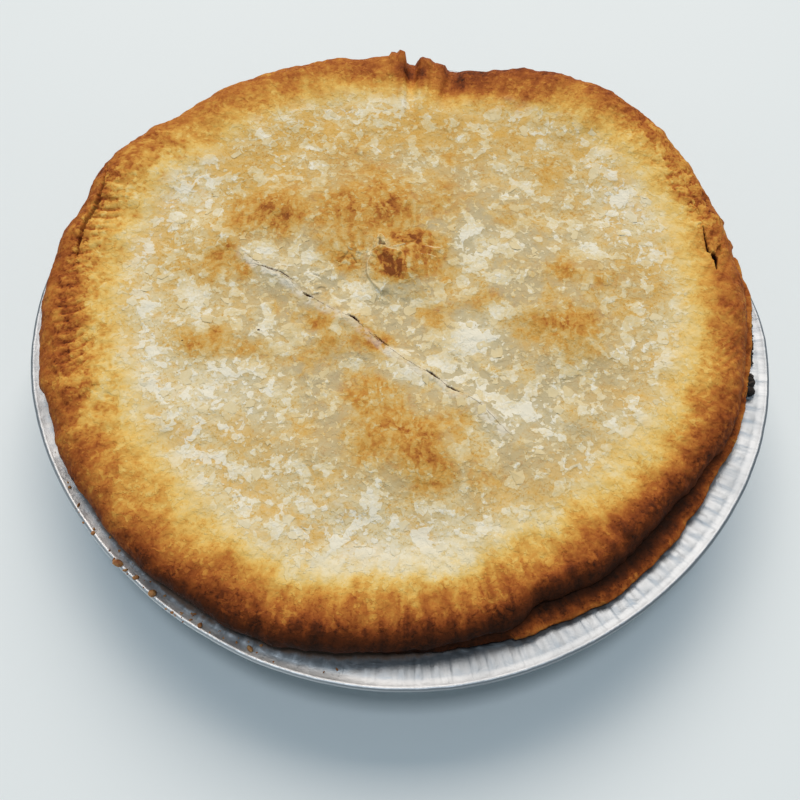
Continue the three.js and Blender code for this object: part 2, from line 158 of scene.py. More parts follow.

# Where the crust has opened: how deep, how dark with its browned inside and painted shade, then points along
# the opening. A point on the rim is its bearing, its distance in from the edge and the half width there.
RIM_CRACKS = [
    (1.8, 0.36, [(152.5, 3.6, 0.3), (159.2, 6.2, 0.8), (164.7, 7.4, 0.9), (172.5, 8.8, 0.4)]),
    (2.4, 0.9, [(18, 9.7, 0.22), (14.8, 10.1, 0.32), (12.9, 9.6, 0.38), (12.1, 9, 0.45)]),
    (3.4, 1.0, [
        (12.3, 8.4, 0.5), (11.7, 8.2, 1.05), (10.6, 8.2, 0.75), (9.4, 8.5, 0.45), (8.2, 8.8, 0.15),
    ]),
    (1.3, 0.3, [(11.4, 7.4, 0.9), (12.6, 5.8, 0.9), (13.8, 4.6, 0.3)]),
    (0.8, 0.32, [(22.8, 8.4, 0.15), (21.4, 8.2, 0.3), (20, 8.3, 0.15)]),
]
# A point on the lid is its x, its y and the half width there. First come the slit's gaps, then the creases
# round the middle lump, then two pinholes.
LID_CRACKS = [
    (0.6, 0.6, [(-46.8, 12.9, 0.12), (-41.5, 11.3, 0.18), (-37.3, 9.6, 0.2), (-33.5, 7, 0.12)]),
    (1.4, 0.9, [(-30.6, 2.9, 0.15), (-29, 2, 0.32), (-27.4, 1.2, 0.15)]),
    (2.0, 1.0, [(-16.6, -5.5, 0.15), (-14.8, -6.9, 0.42), (-12.8, -8.5, 0.18)]),
    (1.2, 0.9, [(-8.4, -12, 0.12), (-6.6, -13.5, 0.25), (-5.2, -14.7, 0.22), (-3.6, -15.9, 0.12)]),
    (2.0, 1.0, [(7.3, -23.8, 0.15), (9.2, -25.3, 0.45), (11.4, -27.1, 0.15)]),
    (1.8, 1.0, [(13, -29, 0.15), (14.8, -30, 0.36), (17, -31.3, 0.15)]),
    (0.6, 0.4, [(-7.4, 22.8, 0.2), (-7.4, 21.4, 0.5), (-7, 20.2, 0.7), (-5.4, 20, 0.3)]),
    (0.4, 0.26, [(-2.6, 20.6, 0.3), (-0.4, 21.4, 0.6), (3.8, 23, 0.3)]),
    (0.4, 0.26, [(-20, 14.4, 0.2), (-18.8, 16.4, 0.5), (-17.4, 18.6, 0.2)]),
    (0.4, 0.24, [(-16.4, 17.2, 0.15), (-15.4, 15.8, 0.4), (-14.6, 14.2, 0.15)]),
    (0.3, 0.24, [(-28.2, 10.4, 0.15), (-27, 10, 0.4), (-25.8, 9.4, 0.15)]),
    (0.4, 0.26, [(-28.4, 1.9, 0.2), (-26.6, 2.7, 0.6), (-24.6, 3.4, 0.2)]),
    (0.3, 0.24, [(-26.8, 4.6, 0.15), (-25.2, 5.4, 0.4), (-23.6, 5.2, 0.15)]),
    (0.2, 0.9, [(-43.6, -10.8, 0.3), (-42.8, -10.8, 0.3)]),
    (0.2, 0.8, [(-65.9, -15.1, 0.2), (-65.3, -15.1, 0.2)]),
]
# Flaps of pastry where the middle lump broke: how high, how wide, the side of the edge that the flap lies
# on (1 for the left, -1 for the right), then points along the edge in the same way.
FLAPS = [
    (0.9, 6.0, 1, [
        (-9.2, 18.6, 0.3), (-10.4, 16.9, 0.3), (-11, 12.9, 0.3), (-10.6, 9, 0.3), (-8.7, 5.5, 0.3),
        (-6.9, 1.8, 0.2),
    ]),
    (0.9, 5.0, -1, [
        (-10, 18.8, 0.25), (-7.4, 19.2, 0.3), (-4.9, 18.3, 0.3), (-2.6, 17.4, 0.3), (-0.4, 16.2, 0.2),
    ]),
    (0.6, 2.0, -1, [
        (-9.9, 19.2, 0.2), (-8.6, 21.8, 0.25), (-7.4, 24, 0.25), (-6, 21.8, 0.25), (-4.8, 19.6, 0.2),
    ]),
    (0.4, 3.0, -1, [(-13, 17.2, 0.2), (-15.6, 18, 0.25), (-18, 20.2, 0.2)]),
    (0.4, 3.0, 1, [(-3.4, 18.8, 0.2), (-1.4, 19.4, 0.25), (0.6, 20.6, 0.2)]),
    (0.3, 3.0, -1, [(5, 17.4, 0.2), (7.6, 18.4, 0.25), (10.6, 17.8, 0.2)]),
    (0.3, 3.0, -1, [(6.4, 21.2, 0.2), (9, 21.6, 0.25), (12, 20.6, 0.2)]),
]
# Smooth pale islands of the lid: the middle's x and y, the half width and the half depth.
PALE_ISLANDS = [
    (25, -32, 3.4, 2), (31, -36, 4, 2.4), (38, -38.5, 3, 1.8), (-8.2, 8, 2.4, 5.5), (-16, 5.6, 3.4, 3),
    (18.9, 9, 2.4, 2.6), (18.8, 3.4, 3, 2), (7, 0.6, 5, 1.8), (-13, -2, 3, 2), (10, -20, 2.6, 2.2),
    (18, -14, 7, 5), (14, -22, 2, 1.6), (-13.5, -22.6, 2.6, 2), (2, -26.7, 3.4, 2), (17, -26.4, 2.2, 1.8),
    (-32, -12, 3, 3.4), (-35, -17, 3, 2.4), (-43, -23, 4, 2.6), (-62, -2, 4, 6), (-66, 4, 3, 3),
    (-40, -4, 2.4, 5), (30, 10, 4, 3), (34, 22, 5, 2.2), (24, 16, 3, 2), (38, -2, 3, 2.4),
    (-30, 16, 3, 2.2), (-44, 20, 4, 3), (56, 20, 4, 2.4), (44, -30, 3, 2),
]
# How finely a curve is traced, how far from it points are looked at, and the margins of finer triangles.
CURVE_STEPS = 40
LINE_SPACING = 0.4
CRACK_REACH = 3
SPLIT_REACH = 5
SPLIT_MARGINS = (2.6, 1.4)
# How unevenly the openings and the flaps' edges run, and how the flaps are broken up.
RAGGED_CRACK = {"reach": 0.35, "spacing": 0.9, "shift": 60}
RAGGED_FLAP = {"reach": 0.6, "spacing": 2.3, "shift": 20}
BROKEN_FLAP = {"reach": 1.0, "spacing": 1.7, "shift": 90}
# The crimps' creases carry painted shade, over the last width given.
CRIMPS = {
    "from": 152.0, "to": 207.0, "spacing": 4.1, "inner": 15.5, "outer": 5.5, "depth": 1.05,
    "middle": 10, "slant": 0.3, "bend": 0.06, "reach": 1.6, "width": 0.9, "shade width": 0.6,
}
RIM_FOLDS = {"spacing": 11.0, "slant": 1.6, "sway": 2.4, "height": 0.6, "outer": 1, "inner": 18}
BLISTERED = [
    {"from": 12.0, "to": 54.0, "outer": 1.5, "inner": 18.0, "height": 0.5},
    {"from": 136.0, "to": 220.0, "outer": 4.0, "inner": 27.0, "height": 0.32},
]
BLISTER_SIZE = 4.0
# The blisters' scales: how their edges and their own values change the bake, and how they curl.
SCALE_BAKE = {"edge": 0.13, "darker edge": 0.18, "contrast": 0.2, "middle": 0.45}
SCALE_CURL = {"edge": 0.14, "least": 0.35, "more": 0.65, "sunk": 0.3}

# Places round the rim with their own bake, creases, stains, painted shade or sheen: middle bearing and reach.
PLACES = {
    "dark shaded front": (255, 45),
    "pale right": (5, 32),
    "ledge": (316, 15),
    "wide left": (192, 42),
    "streaked front": (272, 50),
    "streaked back": (75, 35),
    "folded right": (353, 20),
    "stained and shaded front left": (230, 28),
    "stained and shaded front": (262, 40),
    "stained and shaded right": (352, 12),
    "sheen front left": (236, 30),
    "dull left": (180, 32),
}

# How deeply the rim is baked, from pale at 0 to nearly black at 1: by bearing, and by distance from the edge.
BAKE_INSETS = (0, 4, 8, 12, 16, 20, 25, 32)
RIM_BAKE_AND_SHADE = {
    36: (0.62, 0.56, 0.50, 0.44, 0.36, 0.25, 0.13, 0.12),
    52: (0.74, 0.70, 0.63, 0.55, 0.48, 0.38, 0.24, 0.14),
    67: (0.82, 0.80, 0.76, 0.70, 0.60, 0.45, 0.27, 0.12),
    80: (0.84, 0.80, 0.74, 0.66, 0.53, 0.38, 0.22, 0.10),
    100: (0.70, 0.66, 0.62, 0.56, 0.46, 0.34, 0.22, 0.08),
    135: (0.64, 0.60, 0.57, 0.51, 0.42, 0.33, 0.20, 0.07),
    160: (0.72, 0.66, 0.55, 0.42, 0.33, 0.25, 0.18, 0.12),
    182: (0.74, 0.66, 0.63, 0.53, 0.41, 0.30, 0.20, 0.13),
    205: (0.74, 0.66, 0.60, 0.51, 0.41, 0.30, 0.20, 0.14),
    # Bearings 221 to 315: the dark edge values are partly painted shade, where the rim turns from the light.
    221: (0.80, 0.64, 0.54, 0.48, 0.39, 0.28, 0.19, 0.14),
    237: (0.98, 0.82, 0.63, 0.54, 0.40, 0.22, 0.10, 0.08),
    262: (0.98, 0.90, 0.67, 0.58, 0.36, 0.06, 0.02, 0.04),
    280: (0.98, 0.86, 0.65, 0.58, 0.39, 0.09, 0.05, 0.06),
    315: (0.97, 0.84, 0.64, 0.46, 0.30, 0.21, 0.16, 0.11),
    357: (0.70, 0.64, 0.57, 0.44, 0.28, 0.23, 0.17, 0.11),
}
# Painted shade in the rim's hollows below the crags, given as the patches below are.
RIM_HOLLOW_SHADE = [
    (-0.2, 97, 2.2, 3.0, 0.34),
    (5.2, 97, 1.8, 2.6, 0.3),
    (18, 94, 2.0, 3.0, 0.14),
]
# How deeply the rim's face and the under crust are baked, then what is added at some places of each.
# The face's darker front and the under crust's darker seam are partly burnt and partly painted shade.
FACE_BAKE_AND_SHADE = {"plain": 0.78, "front": 0.17, "foot": 0.06}
UNDER_CRUST_BAKE_AND_SHADE = {"plain": 0.77, "right": 0.63, "ledge": 0.1, "seam": 0.3, "below": -0.1, "foot": 0.1}
# How deeply the lid is baked, then what its patches and a pale band beside the rim add to that.
LID_BAKE = 0.36
LID_BAKE_ADDED = {"browned": 0.82, "white": -0.08, "band": -0.08}
LID_BAND = {"inset": 27, "reach": 8}
# The lid's middle is greyer: wholly within the first of these distances of a point, and not past the second.
GREY_MIDDLE = (8, -4)
GREY_REACH = (42, 82)
# The rim's colour gives way to the lid's between these distances from the edge, a little later at the left.
LID_FROM = (17, 29)
LID_LATER_AT_LEFT = 4
# Browned patches of the lid: x, y, half width, half depth and how much browner they are.
BROWNED = [
    (-43, 34, 11, 9, 0.53), (-18, 34, 11, 12, 0.46), (-5, 38, 10, 12, 0.54), (-12, 50, 10, 7, 0.26),
    (-6, 28, 13, 5, 0.34), (10, 42, 9, 9, 0.28), (-1, 12.2, 5.5, 5, 0.95), (-5, 16.6, 4, 3, 0.7),
    (3, 18.5, 5, 4, 0.62), (8, 19, 8, 7, 0.52), (-17, 18, 8, 4, 0.44), (3, 25, 9, 3, 0.6),
    (1, 23.5, 4, 1.8, 0.9), (0, -46, 13, 10, 0.5), (6, -54, 9, 8, 0.48), (-8, -33, 10, 7, 0.42),
    (12, -42, 9, 6, 0.3), (48, -10, 11, 9, 0.46), (57, -13, 5, 6, 0.3), (48, 12, 7, 6, 0.42),
    (60, 11, 5, 4, 0.36), (36, 32, 7, 5, 0.26), (23, 2, 6, 3, 0.3), (9, -5, 3, 6, 0.3),
    (-57, 14, 5, 6, 0.48), (-51, 9, 4, 4, 0.44), (-58, -14, 10, 6, 0.44), (-46, -17, 6, 5, 0.36),
    (-39, -2, 4, 6, 0.26), (-25, -7, 5, 5, 0.44), (-8, -15, 5, 5, 0.46), (-23, -18, 6, 5, 0.26),
    (-28, -45, 10, 6, 0.16), (24, -60, 7, 8, 0.3), (14, 59, 8, 6, 0.24), (45, 57, 7, 8, 0.24),
    (54, 68, 6, 6, 0.24), (-20, 62, 9, 9, 0.18), (-48, 62, 14, 12, 0.14), (30, 72, 20, 12, 0.12),
    (72, -30, 10, 14, 0.14), (75, 10, 10, 14, 0.14), (-72, -55, 12, 12, 0.14), (40, -62, 14, 9, 0.14),
    (0, 75, 50, 22, 0.12), (-70, 15, 5, 16, 0.14),
]
# Patches of pale, dry flakes, in the same way.
WHITENED = [
    (-74, -18, 9, 20, 0.8), (-62, -3, 10, 8, 0.7), (-58, -32, 16, 12, 0.8), (-41, -10, 6, 9, 0.7),
    (-40, -28, 8, 6, 0.5), (25, -8, 9, 9, 0.7), (10, -26, 9, 6, 0.7), (20, 22, 8, 6, 0.6),
    (34, 22, 10, 4, 0.5), (70, 40, 12, 10, 0.6), (60, 26, 8, 6, 0.4), (-66, 33, 10, 16, 0.6),
    (-36, 14, 12, 6, 0.6), (30, -42, 12, 8, 0.6), (-5, 4, 10, 6, 0.3), (-40, -62, 24, 10, 0.4),
    (0, -84, 40, 6, 0.9), (-6, -71, 34, 9, 0.42), (66, -40, 10, 8, 0.5), (80, -6, 6, 10, 0.4),
    (40, -36, 10, 6, 0.4), (-20, -35, 8, 5, 0.4), (24, -31, 7, 4, 0.8), (34, -37.5, 7, 4, 0.9),
    (43, -40, 5, 3, 0.8), (-44, 16, 8, 3, 0.7),
]
# Patterns over the crust: how strong, the spacing of their humps, their layers of detail and their seed.
PATTERNS = {
    "broad drift": (3.0, 20, 3, 1),
    "fine drift": (2.2, 7, 3, 2),
    "wander across": (4.6, 12, 4, 3),
    "wander along": (4.6, 12, 4, 4),
    "mottle": (1.0, 6, 4, 5),
    "broad relief": (0.42, 8, 4, 6),
    "fine relief": (0.14, 2.4, 3, 7),
    "streaks": (0.5, 5.5, 3, 8),
    "lumps": (0.4, 4.5, 3, 9),
}

# The mesh: the spacing of points on the lid and rim, and the rows down the rim.
POINT_SPACING = 0.86
SHOULDER_ROWS = 16
FACE_ROWS = 22
HIDDEN_COLUMNS = 200
# The rim's face ends a little above the foil, between the wall and the lip. The pie lies inside the foil.
FACE_FOOT = 1.65
FACE_TUCK = 0.9
FACE_UNDERCUT = 1.2
FACE_WITHIN = (WALL_TOP[0] + 1.2, FLANGE_END[0] - 1.8)
# How far the pie's hidden side lies inside the foil and above it: at the wall's top, its foot and the base.
PIE_GAPS = ((1.2, 0.4), (1.2, 0.5), (0.8, 1.0))
PIE_FLOOR = PIE_GAPS[-1][1]


def smooth(value, low, high):
    """0 below low, 1 above high and an even S between."""
    share = np.clip((value - low) / (high - low), 0, 1)
    return share * share * (3 - 2 * share)


def mixed(first, second, share):
    return first + (second - first) * share


def bell(distance):
    return np.exp(-distance * distance)


def turn_from(bearing, middle):
    """The bearing's turn from another one, between -180 and 180."""
    return (bearing - middle + 180) % 360 - 180


def at_place(name, bearing):
    """1 in the middle of a named place round the rim, falling to 0 on both sides."""
    middle, reach = PLACES[name]
    return bell(turn_from(bearing, middle) / reach)


def stretch(value, start, end, rise, fall):
    """0 before start and after end, 1 between them, with even slopes inside both ends."""
    return smooth(value, start, start + rise) * (1 - smooth(value, end - fall, end))


def plan(bearing, radius):
    """The x and y of points that are given by bearing and radius."""
    angle = np.radians(bearing)
    return radius * np.cos(angle), radius * np.sin(angle)


def bearing_of(x, y):
    return np.degrees(np.arctan2(y, x))


def grid_value(i, j):
    """A fixed value between -1 and 1 for each whole grid point."""
    wave = np.sin(i * 127.1 + j * 311.7) * 43758.5453
    return 2 * (wave - np.floor(wave)) - 1


def unevenness(u, v):
    """Smooth humps between -1 and 1, about one unit apart."""
    i = np.floor(u)
    j = np.floor(v)
    s = smooth(u - i, 0, 1)
    t = smooth(v - j, 0, 1)
    near = mixed(grid_value(i, j), grid_value(i + 1, j), s)
    far = mixed(grid_value(i, j + 1), grid_value(i + 1, j + 1), s)
    return mixed(near, far, t)


def humps(x, y, size, shift=0):
    """Smooth humps about size apart, from -1 to 1. Another shift gives other ones."""
    return unevenness(x / size + shift, y / size)


def between(stations, bearing):
    """The stations before and after each bearing, the turn between them and the share of it passed."""
    turned = (bearing - stations[0]) % 360
    before = np.searchsorted(stations - stations[0], turned, side="right") - 1
    after = (before + 1) % len(stations)
    span = (stations[after] - stations[before]) % 360
    return before, after, span, (turned - stations[before] + stations[0]) / span


def along_rim(bearing, column):
    """A smooth closed curve through one column of the rim's stations, read at each bearing."""
    stations = RIM_STATIONS[:, 0]
    measure = RIM_STATIONS[:, column]
    before, after, span, along = between(stations, bearing)

    def slope(here):
        earlier = (here - 1) % len(stations)
        later = (here + 1) % len(stations)
        return (measure[later] - measure[earlier]) / ((stations[later] - stations[earlier]) % 360) * span

    square = along ** 2
    cube = along ** 3
    return (
        measure[before] * (2 * cube - 3 * square + 1)
        + slope(before) * (cube - 2 * square + along)
        + measure[after] * (3 * square - 2 * cube)
        + slope(after) * (cube - square)
    )


def rim_wave(bearing, row):
    """Slow waves along the rim, from -1 to 1, other ones in each row."""
    x, y = plan(bearing, LIP_RADIUS / RIM_WAVE["spacing"])
    return unevenness(x + row, y - row)


def blocky(turn):
    """A flat-topped step with steep sides, one unit to each side."""
    return 1 - smooth(np.abs(turn), 0.55, 1.15)


def ledge_width(bearing):
    """How far the lid's edge stands back from the under crust's, at the front right."""
    start, end = LEDGE["from"], LEDGE["to"]
    return LEDGE["width"] * stretch(bearing % 360, start, end, LEDGE["full"] - start, end - LEDGE["fade"])


def raised_at(places, measure, form, bearing):
    """One form at the bearing of each given place, as large as the place's own measure."""
    return sum(each[measure] * form(turn_from(bearing, each["bearing"]) / each["reach"]) for each in places)


def edge_radius(bearing):
    wave = RIM_WAVE["reach"] * rim_wave(bearing, RIM_WAVE["edge row"])
    return along_rim(bearing, 1) - ledge_width(bearing) + wave + raised_at(EDGE_JAGS, "out", blocky, bearing)


def crest_radius(bearing):
    return along_rim(bearing, 1) - SHOULDER_WIDTH


def crest_level(bearing):
    return LIP_LEVEL + along_rim(bearing, 2) + RIM_WAVE["lift"] * rim_wave(bearing, RIM_WAVE["crest row"])


def crag_rise(bearing):
    return raised_at(CRAGS, "rise", blocky, bearing)


def under_crust_shown(bearing):
    past = (bearing - UNDER_CRUST["from"]) % 360
    ramp = UNDER_CRUST["ramp"]
    return stretch(past, 0, UNDER_CRUST["to"] - UNDER_CRUST["from"], ramp, ramp)


def under_crust_drop(bearing):
    """How far below the lid's edge the under crust comes into view."""
    past = (bearing - UNDER_CRUST["from"]) % 360 + UNDER_CRUST["from"]
    climbed = smooth(past, UNDER_CRUST_CLIMB["from"], UNDER_CRUST_CLIMB["to"])
    return mixed(UNDER_CRUST_DROP["front"], UNDER_CRUST_DROP["back"], climbed)


def dented_lip(radius, bearing):
    """How far the tin's flange is pushed in, at the two places where it bent."""
    return raised_at(LIP_DENTS, "depth", bell, bearing) * smooth(radius, WALL_TOP[0], LIP_RADIUS)


def swollen(radius, bearing):
    """The foil's radius at a bearing, a little out of round towards the lip."""
    swell = 0
    for each in LIP_SWELLS:
        swell = swell + each["height"] * np.cos(each["lobes"] * np.radians(bearing - each["peak"]))
    return radius + smooth(radius, BASE_RADIUS, LIP_RADIUS) * swell


def smooth_path(points, spacing):
    """Evenly spread points on a smooth curve through the given ones."""
    known = np.array(points, float)
    padded = np.vstack([2 * known[0] - known[1], known, 2 * known[-1] - known[-2]])
    fine = []
    for k in range(len(known) - 1):
        before, start, end, after = padded[k:k + 4]
        for t in np.linspace(0, 1, CURVE_STEPS, endpoint=False):
            fine.append(0.5 * (
                2 * start
                + (end - before) * t
                + (2 * before - 5 * start + 4 * end - after) * t ** 2
                + (3 * start - before - 3 * end + after) * t ** 3
            ))
    fine = np.array(fine + [known[-1]])
    run = np.concatenate([[0], np.cumsum(np.linalg.norm(np.diff(fine, axis=0), axis=1))])
    wanted = np.linspace(0, run[-1], max(2, round(run[-1] / spacing)) + 1)
    return np.stack([np.interp(wanted, run, fine[:, axis]) for axis in range(fine.shape[1])], axis=1)


def path_place(path, x, y):
    """Each point's distance to the left of a path, and the share of its length where it comes nearest."""
    nearest = np.full(np.shape(x), np.inf)
    side = np.zeros(np.shape(x))
    share = np.zeros(np.shape(x))
    for k in range(len(path) - 1):
        (ax, ay), (bx, by) = path[k], path[k + 1]
        length = math.hypot(bx - ax, by - ay)
        dx, dy = (bx - ax) / length, (by - ay) / length
        along = np.clip((x - ax) * dx + (y - ay) * dy, 0, length)
        distance = np.hypot(x - ax - along * dx, y - ay - along * dy)
        closer = distance < nearest
        nearest = np.where(closer, distance, nearest)
        side = np.where(closer, np.sign((y - ay) * dx - (x - ax) * dy), side)
        share = np.where(closer, (k + along / length) / (len(path) - 1), share)
    return nearest * side, share


SLIT_LINE = smooth_path(SLIT_PATH, SLIT_SPACING)


def lid_level(x, y):
    """The lid's height at each plan point, out to the rim's crest."""
    lid = LID_LEVEL + BLISTER["height"] * humps(x, y, BLISTER["spacing"])
    for lump_x, lump_y, radius, height in LUMPS:
        lid = lid + height * bell(np.hypot(x - lump_x, y - lump_y) / radius)
    lid = lid + SLIT_LIP["height"] * bell(path_place(SLIT_LINE, x, y)[0] / SLIT_LIP["reach"])
    bearing = bearing_of(x, y)
    towards_rim = smooth(np.hypot(x, y) / crest_radius(bearing), LID_MEETS_RIM, 1)
    crest = crest_level(bearing) + CRAG_SHARE["crest"] * crag_rise(bearing)
    return mixed(lid, crest, towards_rim)


class Rings:
    """A closed skin through rings of points, from the top's middle, out and down, to the floor's middle."""

    def __init__(self):
        self.points = []
        self.bearings = []
        self.kinds = []

    def add(self, bearing, radius, level, kind=0):
        self.points.append(np.stack([*plan(bearing, radius), level], axis=1))
        self.bearings.append(bearing)
        self.kinds.append(np.full(len(bearing), kind))

    def skin(self, top, bottom):
        """The points, the faces and the kind of each point."""
        vertices = np.vstack(self.points + [np.array([top, bottom])])
        kinds = np.concatenate(self.kinds + [[self.kinds[0][0], self.kinds[-1][0]]])
        firsts = np.concatenate([[0], np.cumsum([len(ring) for ring in self.points])])
        faces = []
        for row in range(len(self.points) - 1):
            inner = firsts[row], self.bearings[row]
            outer = firsts[row + 1], self.bearings[row + 1]
            faces.extend(band_between(*inner, *outer))
        top_index = len(vertices) - 2
        top_count = len(self.points[0])
        for k in range(top_count):
            faces.append((top_index, k, (k + 1) % top_count))
        bottom_count = len(self.points[-1])
        for k in range(bottom_count):
            faces.append((firsts[-2] + k, top_index + 1, firsts[-2] + (k + 1) % bottom_count))
        return vertices, np.array(faces), kinds


def band_between(inner_first, inner_bearings, outer_first, outer_bearings):
    """Triangles between two rings, which may have different numbers of points."""
    inner_count = len(inner_bearings)
    outer_count = len(outer_bearings)
    inner_turns = list(inner_bearings) + [inner_bearings[0] + 360, math.inf]
    outer_turns = list(outer_bearings) + [outer_bearings[0] + 360, math.inf]
    triangles = []
    i = j = 0
    while i < inner_count or j < outer_count:
        a = inner_first + i % inner_count
        b = outer_first + j % outer_count
        if j < outer_count and outer_turns[j + 1] <= inner_turns[i + 1]:
            j += 1
            triangles.append((a, b, outer_first + j % outer_count))
        else:
            i += 1
            triangles.append((a, b, inner_first + i % inner_count))
    return triangles


def even_bearings(count):
    return np.arange(count) * (360 / count)


LID, FACE, HIDDEN = 0, 1, 2


def crust_skin():
    """The pie's skin without its fine relief."""
    rings = Rings()
    mean_crest = float(np.mean(crest_radius(even_bearings(360))))
    lid_rows = round(mean_crest / POINT_SPACING)
    for row in range(1, lid_rows):
        bearing = even_bearings(max(6, round(2 * math.pi * row)))
        radius = row / lid_rows * crest_radius(bearing)
        rings.add(bearing, radius, lid_level(*plan(bearing, radius)), LID)
    bearing = even_bearings(round(2 * math.pi * lid_rows))
    crest = crest_level(bearing)
    crag = crag_rise(bearing)
    width = edge_radius(bearing) - crest_radius(bearing)
    for turn in np.linspace(0, 90, SHOULDER_ROWS):
        share = CRAG_SHARE["shoulder"] + smooth(turn, 60, 90) * (CRAG_SHARE["edge"] - CRAG_SHARE["shoulder"])
        share += (1 - smooth(turn, 0, 30)) * (CRAG_SHARE["crest"] - CRAG_SHARE["shoulder"])
        out, up = math.sin(math.radians(turn)), math.cos(math.radians(turn))
        level = crest - SHOULDER_DROP * (1 - up) + share * crag
        rings.add(bearing, crest_radius(bearing) + width * out, level, LID)
    add_face_rings(rings, bearing, crest - SHOULDER_DROP + CRAG_SHARE["edge"] * crag)
    add_hidden_rings(rings)
    middle = float(lid_level(np.zeros(1), np.zeros(1))[0])
    return rings.skin((0.0, 0.0, middle), (0.0, 0.0, PIE_FLOOR))


def add_face_rings(rings, bearing, edge_level):
    """The rim's outer face, from its edge down past the seam to the flange."""
    edge = edge_radius(bearing)
    ledge = ledge_width(bearing)
    shown = under_crust_shown(bearing)
    seen_from = under_crust_drop(bearing)
    for row in range(1, FACE_ROWS + 1):
        down = (row / FACE_ROWS) ** 1.5
        level = mixed(edge_level, WALL_TOP[1] + FACE_FOOT, down)
        share = (edge_level - level) / seen_from
        plain = edge - FACE_TUCK * smooth(down, 0, 0.5) - FACE_UNDERCUT * smooth(down, 0.6, 1)
        step = UNDER_CRUST["step"] * smooth(share, 0.75, 1.1) + ledge * smooth(share, 0.7, 1.35)
        seam = UNDER_CRUST["seam"] * bell((share - 0.6) / 0.3)
        under = edge + step - FACE_UNDERCUT * smooth(down, 0.75, 1) - seam
        radius = mixed(plain, under, shown)
        seated = np.clip(radius, *FACE_WITHIN)
        rings.add(bearing, mixed(radius, seated, smooth(down, 0.35, 1)), level, FACE)


def add_hidden_rings(rings):
    """The pie's side and floor, which lie against the foil."""
    bearing = even_bearings(HIDDEN_COLUMNS)
    for (radius, level), (inside, above) in zip((WALL_TOP, WALL_FOOT, (BASE_RADIUS, 0.0)), PIE_GAPS):
        levels = np.full(len(bearing), level + above)
        rings.add(bearing, swollen(radius, bearing) - inside, levels, HIDDEN)


def on_rim(path):
    """A path given by bearing, distance in from the edge and half width, in plan."""
    bearing, inset, half_width = np.array(path, float).T
    return np.stack([*plan(bearing, edge_radius(bearing) - inset), half_width], axis=1)


def traced(rows, in_plan=list):
    """Each opening or edge as a line of plan points and half widths, followed by its measures."""
    return [(smooth_path(in_plan(path), LINE_SPACING), *measures) for *measures, path in rows]


def near_line(line, x, y, reach):
    """Which points lie in the box round a line, their distance to its left and their share of its length."""
    low = line.min(axis=0) - reach
    high = line.max(axis=0) + reach
    near = np.flatnonzero((x > low[0]) & (x < high[0]) & (y > low[1]) & (y < high[1]))
    return near, *path_place(line[:, :2], x[near], y[near])


def width_and_taper(line, share):
    """A line's half width at a share of its length, and how much of the opening is left towards the ends."""
    width = np.interp(share, np.linspace(0, 1, len(line)), line[:, 2])
    return width, np.clip(12 * np.minimum(share, 1 - share), 0, 1)


def ragged(shape, x, y):
    """An uneven push at each plan point, by the reach, spacing and shift of a shape."""
    return shape["reach"] * humps(x, y, shape["spacing"], shape["shift"])


def opened(x, y, cracks):
    """How deep each plan point has sunk into a crack, and how dark the crack's browned inside and painted
    shade are there.
    """
    sunk = np.zeros_like(x)
    dark = np.zeros_like(x)
    for line, depth, darkness in cracks:
        near, distance, share = near_line(line, x, y, CRACK_REACH)
        width, taper = width_and_taper(line, share)
        away = np.abs(distance / width + ragged(RAGGED_CRACK, x[near], y[near]))
        sunk[near] = np.maximum(sunk[near], depth * taper * (1 - smooth(away, 0.3, 1.1)))
        dark[near] = np.maximum(dark[near], darkness * taper * (1 - smooth(away, 0.5, 1.2)))
    return sunk, dark


def lifted(x, y, flaps):
    """How far each plan point has risen with a flap of pastry, and how much of the flap's pale edge shows."""
    risen = np.zeros_like(x)
    pale = np.zeros_like(x)
    for line, height, width, side in flaps:
        near, distance, share = near_line(line, x, y, width + 1)
        edge_width, taper = width_and_taper(line, share)
        inside = side * distance + ragged(RAGGED_FLAP, x[near], y[near])
        whole = taper * smooth(ragged(BROKEN_FLAP, x[near], y[near]), -0.45 - height, 0.2 - height)
        raised = smooth(inside, -0.25, 0.25) * (1 - smooth(inside, 0.2 * width, width))
        edge = 1 - smooth(np.abs(inside - 0.2) / edge_width, 0.5, 1.3)
        risen[near] = np.maximum(risen[near], height * whole * raised)
        pale[near] = np.maximum(pale[near], whole * edge)
    return risen, pale


def crimps(bearing, inset):
    """Short creases across the rim, where it was pinched to the lid: how deep they are, and the painted shade
    in them.
    """
    spacing = CRIMPS["spacing"]
    around = np.radians(bearing) * LIP_RADIUS
    # The creases slant across the rim, and their spacing varies.
    past = inset - CRIMPS["middle"]
    slant = CRIMPS["slant"] * past + CRIMPS["bend"] * past ** 2
    place = (around + slant) / spacing + 0.35 * np.sin(around / 7.3) + 0.15 * np.sin(around / 2.9)
    number = np.round(place)
    away = np.abs(place - number) * spacing
    strength = 0.65 + 0.35 * grid_value(number, 3)
    reach = CRIMPS["reach"] * grid_value(number, 8)
    band = smooth(inset + 0.6 * reach, CRIMPS["outer"], CRIMPS["outer"] + 2)
    band = band * (1 - smooth(inset + reach, CRIMPS["inner"] - 3, CRIMPS["inner"]))
    amount = stretch(bearing, CRIMPS["from"], CRIMPS["to"], 8, 18) * band * strength
    deep = CRIMPS["depth"] * amount * np.exp(-away / CRIMPS["width"])
    return deep, amount * bell(away / CRIMPS["shade width"])


def blistered_share(zone, bearing, inset):
    """Where a zone of the rim has blistered into small scales, from 0 to 1."""
    along = stretch(bearing, zone["from"], zone["to"], 8, 16)
    return along * stretch(inset, zone["outer"], zone["inner"], 2, 8)


def edge_key(a, b):
    return min(a, b), max(a, b)


